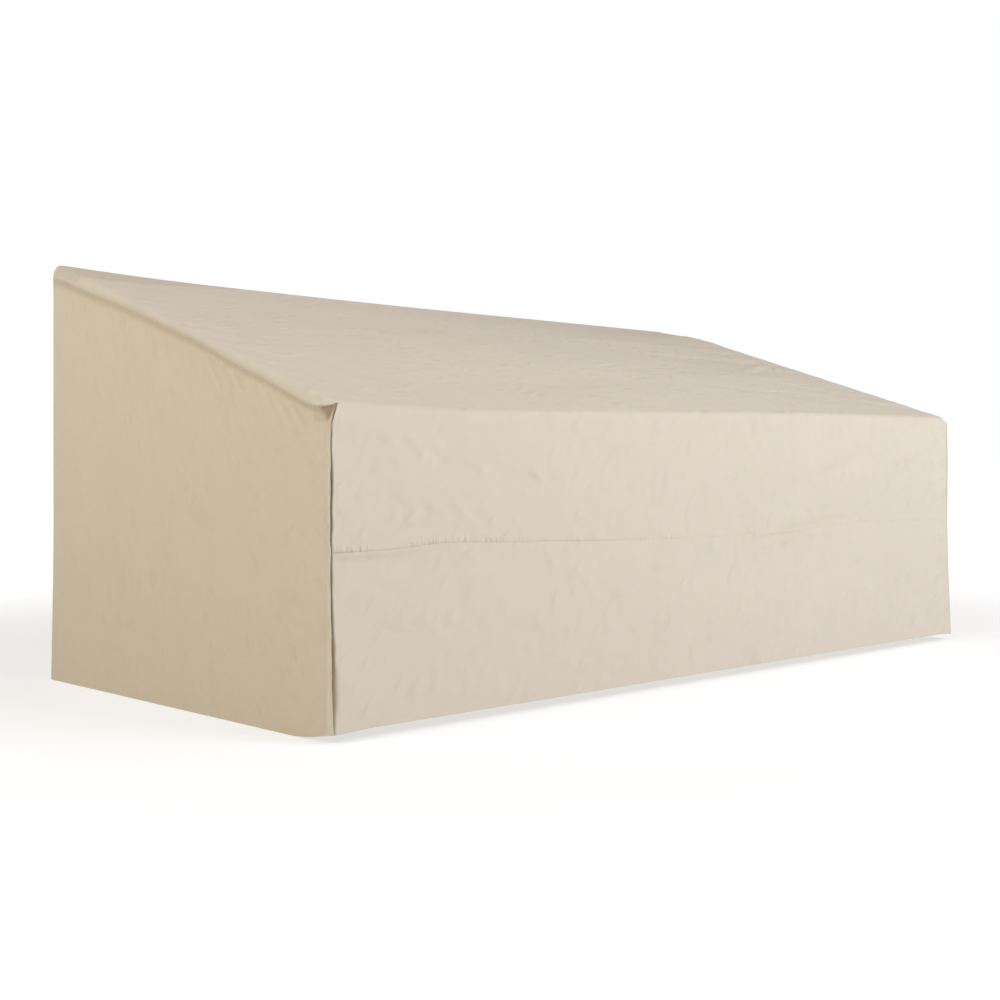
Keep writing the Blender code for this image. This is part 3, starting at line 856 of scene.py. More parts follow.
@dataclass
class TopFrontSheet(AcrossSheet):
    """The sheet from the level seam, over the soft front edge and up the slope to the back."""

    straight_columns: int = 220
    roll_columns: int = 21
    wall_rows: int = 38
    edge_rows: int = 8
    slope_rows: int = 112
    ridge_rows: int = 8
    drop_rows: int = 4
    ridge_turn: float = 0.8
    flat_share: float = 0.2
    creases: float = 1.1
    top_creases: float = 0.72
    pucker_reach: float = 0.016
    # painted shade beside the left groove and in the level seam, painted light and shade where the cloth
    # turns at its edges, and the reach of the painted shade band
    beside_dark: float = 0.75
    beside_reach: float = 0.0045
    beside_rise: float = 0.03
    seam_shade: float = 0.34
    seam_shade_reach: float = 0.0025
    turned: float = 0.5
    turned_reach: float = 0.010
    turned_front: float = 0.004
    band_reach: float = 0.020
    front_depth: float = 0.03
    top_fade: float = 0.05

    def rows(self) -> list[tuple[str, Array]]:
        """The sheet's stretches from bottom to top, each with the shares of its rows.

        Returns:
            The name of each stretch, and the shares.
        """
        return [
            ("front", graded(self.wall_rows, self.grading)),
            ("edge", graded(self.edge_rows, 1.0)[1:-1]),
            ("slope", graded(self.slope_rows, 1.0)),
            ("ridge", graded(self.ridge_rows, 1.0)[1:]),
            ("back", graded(self.drop_rows, 1.0)[1:]),
        ]

    def straight(self, x: Array) -> Array:
        """The sheet between its side rolls, stretch by stretch.

        Args:
            x: x of each column.

        Returns:
            The points as rows x columns x 3.
        """
        form = self.form
        inward = self.inward(x)
        stretches = []
        for part, shares in self.rows():
            share = shares[:, None]
            if part == "front":
                seam = form.level_seam_z(x)[None] + form.seam_gap / 2
                z = lerp(seam, form.fold_start_z(x)[None], share)
                out = form.relief.at(Face.FRONT, x[None], z, np.minimum(inward, z - seam))
                y = form.front_y(z) + form.level_dip(x[None], z - seam) - out
            elif part == "edge":
                below = points(x, form.front_y(form.fold_start_z(x)), form.fold_start_z(x))
                above = points(x, form.slope_start, form.top_z(x, form.slope_start))
                corner = points(x, form.front, form.front_edge_z(x))
                curve = bezier(below[None], corner[None], above[None], share[..., None])
                y, z = curve[..., 1], curve[..., 2]
            elif part == "slope":
                y = lerp(form.slope_start, form.slope_end, share) + 0 * x[None]
                from_edge = np.minimum(y - form.slope_start, form.slope_end - y)
                out = form.relief.at(Face.TOP, x[None], y, np.minimum(inward, from_edge))
                z = form.top_z(x[None], y) + out
            elif part == "ridge":
                above = points(x, form.slope_end, form.top_z(x, form.slope_end))
                below = points(x, form.back, form.ridge_z(x) - form.ridge_round)
                corner = points(x, form.back, form.ridge_z(x))
                curve = bezier(above[None], corner[None], below[None], share[..., None])
                y, z = curve[..., 1], curve[..., 2]
            else:
                seam = form.back_seam_z(x)[None] + form.seam_gap / 2
                z = lerp(form.ridge_z(x)[None] - form.ridge_round, seam, share)
                y = form.back - form.dip(z - seam)
            stretches.append(points(x[None], y, z))
        return np.concatenate(stretches)

    def sewn_end(self, side: int) -> tuple[Array, Array]:
        """The sewn end of each row: up the upright seam and round its peak, up the slope and round the back.

        Args:
            side: the seam's side, LEFT or RIGHT.

        Returns:
            The points as rows x 3, and for each row how far it has turned from a dive (0) to a shoulder (1).
        """
        form = self.form
        edge = np.array([side * form.half_width])
        fold_start = form.fold_start_z(edge)
        foot = form.front_corner(side, fold_start)
        peak = form.front_corner(side, np.array([form.peak_height(side)]))
        slope_foot = form.slope_edge(side, np.array([form.slope_start]))
        slope_head = form.slope_edge(side, np.array([form.slope_end]))
        back_foot = form.back_corner(side, form.back_seam_z(edge))
        ends, turns = [], []
        for part, share in self.rows():
            if part == "front":
                level = form.level_seam_z(edge) + form.seam_gap / 2
                end = form.front_corner(side, lerp(level, fold_start, share))
                turned = 0 * share
            elif part == "edge":
                rising = lerp(foot, peak, np.clip(share * 2, 0, 1)[:, None])
                falling = lerp(peak, slope_foot, np.clip(share * 2 - 1, 0, 1)[:, None])
                end = np.where(share[:, None] < 0.5, rising, falling)
                turned = np.clip(share * 2 - 1, 0, 1)
            elif part == "slope":
                end = form.slope_edge(side, lerp(form.slope_start, form.slope_end, share))
                turned = 1 + 0 * share
            else:
                way = share * self.ridge_turn if part == "ridge" else lerp(self.ridge_turn, 1.0, share)
                middle_z = (slope_head[:, 2] + back_foot[:, 2]) / 2
                middle = points(form.side_x(side, back_foot[:, 2]), form.back, middle_z)
                end = bezier(slope_head, middle, back_foot, way[:, None])
                turned = 1 + 0 * share
            if part != "front":
                end = end + np.array([0.0, 0.0, form.seam_gap / 2])
            ends.append(end)
            turns.append(turned)
        return np.concatenate(ends), np.concatenate(turns)

    def roll(self, side: int, start: Array, share: Array) -> Array:
        """A dive into the groove beside the upright seam, or a rounded shoulder over the slope and ridge.

        Args:
            side: the seam's side, LEFT or RIGHT.
            start: the last straight points, as rows x 3.
            share: shares of the way from them to the seam.

        Returns:
            The points as rows x shares x 3.
        """
        form = self.form
        end, turned = self.sewn_end(side)
        room = (form.seam_gap / 2 + form.spread(side, end[:, 2])) * (1 - turned)
        end[:, 0] -= side * room
        dive = self.dive(side, start, end, share)
        crown = end[:, 0] + side * form.tuck_in(side, end[:, 1])
        angle = np.clip((share - self.flat_share) / (1 - self.flat_share), 0.0, 1.0)[None] * (math.pi / 2)
        begin = crown - side * form.shoulder
        before = lerp(start[:, 0, None], begin[:, None], np.clip(share / self.flat_share, 0.0, 1.0)[None])
        x = before + side * form.shoulder * np.sin(angle)
        x = x - side * form.tuck_in(side, end[:, 1])[:, None] * (1 - np.cos(angle)) ** 3
        down = 1 - np.cos(angle)
        y = lerp(start[:, 1, None], end[:, 1, None], down)
        z = lerp(start[:, 2, None], end[:, 2, None], down)
        return lerp(dive, points(x, y, z), turned[:, None, None])

    def from_seam(self, place: Array) -> Array:
        """Each point's distance from the nearest seam, as rows x columns.

        Args:
            place: the grid's points.

        Returns:
            The distances as rows x columns.
        """
        x, share = self.columns()
        in_roll = (1 - share) * self.form.roll
        from_side = np.concatenate([in_roll[::-1], self.form.half_width - np.abs(x), in_roll])
        up = walked(place[:, place.shape[1] // 2])
        return np.minimum(np.minimum(up, up[-1] - up)[:, None], from_side[None])

    def wear(self, place: Array) -> dict[str, Array]:
        """Painted shade in the groove, along the seams and over the rear corner; puckered above the level
        seam.

        Args:
            place: the grid's points.

        Returns:
            The finish's layers, as for any sheet.
        """
        form, (x, y, z) = self.form, np.moveaxis(place, -1, 0)
        above = z - form.level_seam_z(x)
        from_seam = self.from_seam(place)
        front, slope = y < form.front + self.front_depth, y > form.slope_start
        puckered = PUCKERS.read(x) * near(above, self.pucker_reach) * front
        beside = self.beside_dark * near(from_seam, self.beside_reach) * front * (x < 0)
        beside = beside * eased(above / self.beside_rise)
        share_of_dip = LEVEL_DIPS.read(x) / LEVEL_DIPS.rows[0][1]
        in_seam = self.seam_shade * share_of_dip**2 * near(above, self.seam_shade_reach) * front
        groove = form.groove_painted_shade(place) * form.below_ear(z)
        band = np.where(x < 0, form.shaded_band(LEFT, place), form.shaded_band(RIGHT, place))
        band = band * near(from_seam, self.band_reach) * slope
        # The turn tints the roll towards the sides' darker tone as painted shade; the darkenings gathered
        # next are painted shade too.
        turn = self.turned * near(from_seam, self.turned_reach) * (y > form.slope_start - self.turned_front)
        painted_shade = np.maximum.reduce([groove, beside, in_seam, band, form.rear_corner_painted_shade(place)])
        creased = lerp(self.creases, self.top_creases, eased((y - form.front) / self.top_fade))
        return {PAINTED_SHADE: painted_shade, PUCKER: puckered, EDGE_LIGHT_AND_SHADE: turn, CREASE: creased}


@dataclass
class LowerFrontSheet(AcrossSheet):
    """The sheet across the front below the level seam."""

    straight_columns: int = 300
    roll_columns: int = 21
    creases: float = 1.2
    pucker_share: float = 0.4
    pucker_reach: float = 0.010
    # painted shade under the fold at the level seam's left end
    under_dark: float = 0.12
    under_middle: float = 0.009
    under_width: float = 0.006
    under_end: tuple[float, float] = (-0.72, 0.22)

    def heights(self, x: Array) -> Array:
        """Height of each row at each x, as rows x columns.

        Args:
            x: x of each column.

        Returns:
            The heights as rows x columns.
        """
        form = self.form
        seam = form.level_seam_z(x)[None] - form.seam_gap / 2
        return lerp(form.front_hem_z(x)[None], seam, self.shares()[:, None])

    def straight(self, x: Array) -> Array:
        """The sheet between its side rolls.

        Args:
            x: x of each column.

        Returns:
            The points as rows x columns x 3.
        """
        form = self.form
        z = self.heights(x)
        seam = form.level_seam_z(x)[None] - form.seam_gap / 2
        out = form.relief.at(Face.FRONT, x[None], z, np.minimum(self.inward(x), seam - z))
        return points(x[None], form.front_y(z) + form.level_dip(x[None], seam - z) - out, z)

    def roll(self, side: int, start: Array, share: Array) -> Array:
        """The dive into the groove beside the upright seam.

        Args:
            side: the seam's side, LEFT or RIGHT.
            start: the last straight points, as rows x 3.
            share: shares of the way from them to the seam.

        Returns:
            The points as rows x shares x 3.
        """
        form = self.form
        end = form.front_corner(side, self.heights(np.array([side * form.half_width]))[:, 0])
        end[:, 0] -= side * form.seam_gap / 2
        return self.dive(side, start, end, share)

    def wear(self, place: Array) -> dict[str, Array]:
        """Painted shade in the groove and in the fold under the level seam's left end, and a little puckered.

        Args:
            place: the grid's points.

        Returns:
            The finish's layers, as for any sheet.
        """
        x = place[..., 0]
        below = self.form.level_seam_z(x) - place[..., 2]
        puckered = self.pucker_share * PUCKERS.read(x) * near(below, self.pucker_reach)
        under = self.under_dark * np.exp(-(((below - self.under_middle) / self.under_width) ** 2))
        under = under * eased((self.under_end[0] - x) / self.under_end[1])
        painted_shade = np.maximum(self.form.groove_painted_shade(place), under)
        return {**super().wear(place), PAINTED_SHADE: painted_shade, PUCKER: puckered}


@dataclass
class BackSheet(AcrossSheet):
    """The sheet down the back, laid out from +X to -X so that its columns run left to right from outside."""

    straight_columns: int = 220
    wall_rows: int = 96
    grading: float = 1.1

    def heights(self, x: Array, top: Array) -> Array:
        """Height of each row at each x, from the floor to the top of the sheet there."""
        return lerp(0.0 * x[None], top[None], self.shares()[:, None])

    def straight(self, x: Array) -> Array:
        """The sheet between its side rolls, down to the floor.

        Args:
            x: x of each column.

        Returns:
            The points as rows x columns x 3.
        """
        form = self.form
        seam = form.back_seam_z(x) - form.seam_gap / 2
        z = self.heights(x, seam)
        out = form.relief.at(Face.BACK, x[None], z, np.minimum(self.inward(x), seam[None] - z))
        return points(x[None], form.back_y(z) - form.dip(seam[None] - z) + out, z)

    def roll(self, side: int, start: Array, share: Array) -> Array:
        """The turn into the upright seam at a back corner.

        Args:
            side: the seam's side, LEFT or RIGHT.
            start: the last straight points, as rows x 3.
            share: shares of the way from them to the seam.

        Returns:
            The points as rows x shares x 3.
        """
        form = self.form
        edge = np.array([side * form.half_width])
        end = form.back_corner(side, self.heights(edge, np.array([form.back_corner_top(side)]))[:, 0])
        middle = points(end[:, 0] - side * form.turn_slack, start[:, 1], start[:, 2])
        end[:, 0] -= side * form.seam_gap / 2
        return bezier(start[:, None], middle[:, None], end[:, None], share[None, :, None])

    def grid(self) -> Array:
        """Places the sheet from its +X seam to its -X one."""
        return super().grid()[:, ::-1]


@dataclass
class SideSheet(Sheet):
    """A sheet at one end of the sofa, turned round both of its corners."""

    side: int = LEFT
    depth_columns: int = 190
    welt_columns: int = 20
    roll_columns: int = 8
    wall_rows: int = 130
    grading: float = 1.2
    creases: float = 1.15
    # painted light under the sloping seam and on the left lip's edge, and painted shade inside the lip
    turned: float = 0.5
    turned_reach: float = 0.006
    pucker_share: float = 0.35
    pucker_reach: float = 0.06
    tuck_below: float = 0.004
    lip_edge: float = 0.0005
    lip_inner: tuple[float, float] = (0.0015, 0.007)
    lip_outer: tuple[float, float] = (0.0010, 0.009)

    def shoulder_out(self, y: Array, below: Array) -> Array:
        """How far the cloth stands out under the shoulder, at a distance below the sloping seam.

        Args:
            y: place from front to back.
            below: distance below the sloping seam.

        Returns:
            How far out each point stands.
        """
        form = self.form
        crown = form.crown_out(self.side, y) * (1 - eased(below / form.crown_reach))
        tuck = form.tuck_in(self.side, y) * (1 - eased((below - self.tuck_below) / form.tuck_reach))
        return crown - tuck

    def flat_cloth(self, y: Array) -> Array:
        """The flat of the sheet at each depth, as rows x columns x 3.

        Args:
            y: y of each column.

        Returns:
            The points as rows x columns x 3.
        """
        form = self.form
        hem = form.side_hem_z(y)[None]
        top = (form.slope_seam_z(self.side, y) - form.seam_gap / 2)[None]
        z = lerp(hem, top, self.shares()[:, None])
        from_edge = np.minimum(y[None] - form.slope_start, form.slope_end - y[None]) + SMALL_FADE
        face = Face.LEFT if self.side == LEFT else Face.RIGHT
        out = form.relief.at(face, y[None], z, np.minimum(from_edge, top - z))
        out = out + self.shoulder_out(y[None], top - z)
        return points(form.side_x(self.side, z) + self.side * out, y[None], z)

    def front_turn(self, share: Array) -> Array:
        """The front edge: on to the corner, round its folded lip and back into the upright seam.

        Args:
            share: shares from the flat cloth to the seam.

        Returns:
            The points as rows x shares x 3.
        """
        form, side, rows = self.form, self.side, self.shares()
        start = self.flat_cloth(np.array([form.slope_start]))[:, 0]
        edge = side * form.half_width
        height = lerp(form.front_hem_z(edge), form.peak_height(side), rows)
        end = form.front_corner(side, height)
        end[:, 0] += side * (form.seam_gap / 2 + form.spread(side, height))
        if side == RIGHT:
            welt = CORNERS[side].read(height, "welt")
            middle = points(form.side_x(side, height), end[:, 1] - welt, (start[:, 2] + end[:, 2]) / 2)
            return bezier(start[:, None], middle[:, None], end[:, None], share[None, :, None])
        radius = form.lip_thickness / 2
        proud = GROOVES[side].read(height, "lip") + np.maximum(0.0, -CORNERS[side].read(height, "sunk"))
        centre_x = end[:, 0] + side * radius
        centre_y = np.minimum(form.front_y(height) - proud + radius, end[:, 1] - radius * 0.5)
        lip_start, lip_end = form.lip_shares
        run = np.clip(share / lip_start, 0.0, 1.0)[None]
        angle = np.clip((share - lip_start) / (lip_end - lip_start), 0.0, 1.0)[None] * math.pi
        sink = np.clip((share - lip_end) / (1 - lip_end), 0.0, 1.0)[None]
        outer_x = lerp(start[:, 0, None], (centre_x + side * radius)[:, None], eased(run))
        level, sway, turns = form.trough_wave
        trough = form.side_trough * np.sin(math.pi * run) * (level + sway * np.sin(height * turns))[:, None]
        x = outer_x - side * (trough + radius * (1 - np.cos(angle)))
        y = lerp(start[:, 1, None], centre_y[:, None], run) - radius * np.sin(angle)
        y = y + (end[:, 1] - centre_y)[:, None] * sink
        x = x + (end[:, 0] - (centre_x - side * radius))[:, None] * sink
        return points(x, y, lerp(start[:, 2, None], end[:, 2, None], run))

    def wear(self, place: Array) -> dict[str, Array]:
        """Painted shade and painted light below the shoulder; on the left, painted shade in the lip and the
        pocket, and a painted highlight on the lip's outer edge, too.

        Args:
            place: the grid's points.

        Returns:
            The finish's layers, as for any sheet.
        """
        form, (x, y, z) = self.form, np.moveaxis(place, -1, 0)
        below = form.slope_seam_z(self.side, y) - z
        # Painted shade in the band and painted light near the sloping seam; on the left, painted shade inside
        # the lip and in the pocket, and a painted highlight on the lip's edge.
        painted_shade = form.shaded_band(self.side, place)
        turn = self.turned * near(below, self.turned_reach) * (y > form.slope_start)
        if self.side == LEFT:
            (inner_fade, inner_depth), (outer_fade, outer_depth) = self.lip_inner, self.lip_outer
            inner = eased((x + form.half_width - self.lip_edge) / inner_fade) * (y < form.front + inner_depth)
            painted_shade = np.maximum(painted_shade, form.pocket_painted_shade(place) + inner * form.below_ear(z))
            lip = eased((-form.half_width + self.lip_edge - x) / outer_fade)
            turn = np.maximum(turn, lip * (y < form.slope_start - outer_depth))
        puckered = self.pucker_share * near(below, self.pucker_reach)
        return {**super().wear(place), PAINTED_SHADE: np.clip(painted_shade, 0.0, 1.0), PUCKER: puckered, EDGE_LIGHT_AND_SHADE: turn}

    def back_turn(self, share: Array) -> Array:
        """The back edge, turned round the rounded back corner.

        Args:
            share: shares from the flat cloth to the seam.

        Returns:
            The points as rows x shares x 3.
        """
        form, side = self.form, self.side
        start = self.flat_cloth(np.array([form.slope_end]))[:, 0]
        height = form.back_corner_top(side) * self.shares()
        end = form.back_corner(side, height)
        middle = points(form.side_x(side, height), form.back_y(height), (start[:, 2] + end[:, 2]) / 2)
        end[:, 0] += side * form.seam_gap / 2
        return bezier(start[:, None], middle[:, None], end[:, None], share[None, :, None])

    def grid(self) -> Array:
        """Places the sheet from its front seam to its back one, and turns it round on the left.

        Returns:
            The points as rows x columns x 3.
        """
        y = np.linspace(self.form.slope_start, self.form.slope_end, self.depth_columns + 1)
        flat = self.flat_cloth(y)
        front = self.front_turn(graded(self.welt_columns, 1.0)[1:])
        back = self.back_turn(graded(self.roll_columns, 1.0)[1:])
        place = np.concatenate([front[:, ::-1], flat, back], axis=1)
        return place[:, ::-1] if self.side == LEFT else place


# ---------------------------------------------------------------- finish


def feed(tree: Tree, node: bpy.types.Node, inputs: dict) -> bpy.types.Node:
    """Feeds inputs of a node.

    Args:
        tree: the node's tree.
        node: the node.
        inputs: by name or number of an input, a plain value or the output that feeds it.

    Returns:
        The node itself.
    """
    for key, source in inputs.items():
        if isinstance(source, Socket):
            tree.links.new(source, node.inputs[key])
        else:
            node.inputs[key].default_value = source
    return node


@dataclass(frozen=True)
class CanvasFinish:
    """Matt coated canvas: a fine plain weave with soft crumples and creases, and puckers beside the seams."""

    name: str
    colour: Colour
    crease_height: float
    # painted light and shade laid on turned edges: darker on the top's rolls, lighter under the side seams
    # and on the lip
    edge_light_and_shade_colour: Colour = (0.645, 0.565, 0.445, 1.0)
    # painted shade colour, multiplied in where shade falls in the grooves, seams and folds
    painted_shade: Colour = (0.44, 0.355, 0.235, 1.0)
    mottle: float = 0.012
    mottle_scale: float = 9.0
    mottle_band: tuple[float, float] = (0.3, 0.7)
    roughness: float = 0.88
    specular: float = 0.25
    sheen: float = 0.08
    sheen_roughness: float = 0.5
    crease_turn: float = 0.0
    crease_stretch: float = 1.7
    crease_scale: float = 34.0
    crease_waver: float = 0.15
    crumple_scale: float = 14.0
    crumple_height: float = 0.0016
    pucker_stretch: float = 0.22
    pucker_scale: float = 150.0
    pucker_height: float = 0.0085
    thread_scale: float = 1300.0
    thread_height: float = 0.00004

    def material(self) -> bpy.types.Material:
        """Makes the finish's material, or finds it if a sheet already wears it.

        Returns:
            The material.
        """
        found = bpy.data.materials.get(self.name)
        if found:
            return found
        material = bpy.data.materials.new(self.name)
        material.use_nodes = True
        tree = material.node_tree
        uv_map = tree.nodes.new("ShaderNodeUVMap")
        uv_map.uv_map = CLOTH_MAP
        cloth = uv_map.outputs["UV"]
        look = {
            "Base Color": self.dye(tree, cloth),
            "Normal": self.surface(tree, cloth),
            "Roughness": self.roughness,
            "Specular IOR Level": self.specular,
            "Sheen Weight": self.sheen,
            "Sheen Roughness": self.sheen_roughness,
        }
        feed(tree, tree.nodes["Principled BSDF"], look)
        return material

    def dye(self, tree: Tree, cloth: Socket) -> Socket:
        """Colour: the dyed cloth, faintly mottled, blended to a painted tone of light and shade at turned
        edges, and darker and browner with painted shade in the grooves, seams and folds.

        Args:
            tree: the material's node tree.
            cloth: the cloth's coordinates.

        Returns:
            The colour's output.
        """
        ramp = tree.nodes.new("ShaderNodeValToRGB")
        amounts = (1 - self.mottle, 1 + self.mottle)
        for tone, position, amount in zip(ramp.color_ramp.elements, self.mottle_band, amounts):
            tone.position = position
            tone.color = shade(self.colour, amount)
        patches = self.noise(tree, cloth, self.mottle_scale, detail=4.0, roughness=0.5)
        feed(tree, ramp, {"Fac": patches.outputs["Fac"]})
        turned = self.laid_over(tree, ramp.outputs["Color"], self.edge_light_and_shade_colour, EDGE_LIGHT_AND_SHADE, "MIX")
        return self.laid_over(tree, turned, self.painted_shade, PAINTED_SHADE, "MULTIPLY")

    def surface(self, tree: Tree, cloth: Socket) -> Socket:
        """Bump: soft crumples, then fine creases, then puckers near the seams, then the weave.

        Args:
            tree: the material's node tree.
            cloth: the cloth's coordinates.

        Returns:
            The bumped normal's output.
        """
        crumple = self.noise(tree, cloth, self.crumple_scale, detail=3.0, roughness=0.5)
        along = self.stretched(tree, cloth, "TEXTURE", self.crease_stretch, self.crease_turn)
        crease = self.noise(tree, along, self.crease_scale, detail=4.0, roughness=0.6)
        crease.noise_type = "RIDGED_MULTIFRACTAL"
        crease.inputs["Distortion"].default_value = self.crease_waver
        upright = self.stretched(tree, cloth, "POINT", self.pucker_stretch, 0.0)
        pucker = self.noise(tree, upright, self.pucker_scale, detail=1.0, roughness=0.5)
        about_level = self.combine(tree, "SUBTRACT", pucker.outputs["Fac"], 0.5)
        wave = {"Vector": cloth, "Scale": self.thread_scale / (2 * math.pi)}
        thread = feed(tree, tree.nodes.new("ShaderNodeTexWave"), wave)
        creased = self.combine(tree, "MULTIPLY", crease.outputs["Fac"], self.layer(tree, CREASE))
        puckered = self.combine(tree, "MULTIPLY", about_level, self.layer(tree, PUCKER))
        heights = [
            (crumple.outputs["Fac"], self.crumple_height),
            (creased, self.crease_height),
            (puckered, self.pucker_height),
            (thread.outputs["Fac"], self.thread_height),
        ]
        below = {}
        for height, distance in heights:
            bump = tree.nodes.new("ShaderNodeBump")
            feed(tree, bump, {"Height": height, "Distance": distance, **below})
            below = {"Normal": bump.outputs["Normal"]}
        return below["Normal"]

    def laid_over(self, tree: Tree, below: Socket, colour: Colour, layer: str, blend: str) -> Socket:
        """A colour laid over the one below it, as strongly as a layer says.

        Args:
            tree: the material's node tree.
            below: the colour below.
            colour: the colour on top.
            layer: name of the layer.
            blend: how the two blend.

        Returns:
            The mixed colour's output.
        """
        mix = tree.nodes.new("ShaderNodeMix")
        mix.data_type = "RGBA"
        mix.blend_type = blend
        return feed(tree, mix, {"Factor": self.layer(tree, layer), "A": below, "B": colour}).outputs["Result"]

    @staticmethod
    def stretched(tree: Tree, cloth: Socket, kind: str, scale: float, turn: float) -> Socket:
        """The cloth's coordinates, scaled along it and turned.

        Args:
            tree: the material's node tree.
            cloth: the cloth's coordinates.
            kind: the mapping's type.
            scale: scale along the cloth.
            turn: turn in radians.

        Returns:
            The mapped coordinates' output.
        """
        mapping = tree.nodes.new("ShaderNodeMapping")
        mapping.vector_type = kind
        inputs = {"Vector": cloth, "Rotation": (0.0, 0.0, turn), "Scale": (1.0, scale, 1.0)}
        return feed(tree, mapping, inputs).outputs["Vector"]

    @staticmethod
    def combine(tree: Tree, operation: str, first: Socket, second: "Socket | float") -> Socket:
        """One sum on two values. The second may be a plain number.

        Args:
            tree: the material's node tree.
            operation: the sum's name.
            first: the first value.
            second: the second value.

        Returns:
            The result's output.
        """
        node = tree.nodes.new("ShaderNodeMath")
        node.operation = operation
        return feed(tree, node, {0: first, 1: second}).outputs["Value"]

    @staticmethod
    def layer(tree: Tree, name: str) -> Socket:
        """The value of one of the sheet's own layers at each point.

        Args:
            tree: the material's node tree.
            name: name of the layer.

        Returns:
            The value's output.
        """
        node = tree.nodes.new("ShaderNodeAttribute")
        node.attribute_name = name
        return node.outputs["Fac"]

    @staticmethod
    def noise(tree: Tree, place: Socket, scale: float, detail: float, roughness: float) -> bpy.types.Node:
        """Adds a noise over the cloth."""
        node = tree.nodes.new("ShaderNodeTexNoise")
        return feed(tree, node, {"Vector": place, "Scale": scale, "Detail": detail, "Roughness": roughness})


def shade(colour: Colour, amount: float) -> Colour:
    """A colour made lighter or darker by a factor."""
    return (*(channel * amount for channel in colour[:3]), colour[3])


# ---------------------------------------------------------------- studio


@dataclass
class Softbox:
    """A soft light: a rectangle at a place, turned towards an aim."""

    name: str
    place: Place
    aim: Place
    size: tuple[float, float]
    power: float
    colour: tuple[float, float, float]

    def build(self) -> None:
        """Adds the light, hidden from the camera."""
        data = bpy.data.lights.new(self.name, "AREA")
        data.shape = "RECTANGLE"
        data.size, data.size_y = self.size
        data.energy = self.power
        data.color = self.colour
        hang_light(data, self.place, self.aim)


@dataclass
class Skylight:
    """A very soft far light that shines evenly on the cover and the whole floor."""

    place: Place = (0.3, -0.35, 1.0)
    spread: float = 80.0
    strength: float = 0.34

    def build(self) -> None:
        """Adds the light."""
        data = bpy.data.lights.new("skylight", "SUN")
        data.energy = self.strength
        data.angle = math.radians(self.spread)
        hang_light(data, self.place, (0.0, 0.0, 0.0))


def hang_light(data: bpy.types.Light, place: Place, aim: Place) -> None:
    """Puts a light at a place, turned towards an aim and hidden from the camera.

    Args:
        data: the light.
        place: where it hangs.
        aim: what it is turned towards.
    """
    light = bpy.data.objects.new(data.name, data)
    bpy.context.scene.collection.objects.link(light)
    light.location = place
    light.rotation_euler = (Vector(aim) - Vector(place)).to_track_quat("-Z", "Y").to_euler()
    light.visible_camera = False


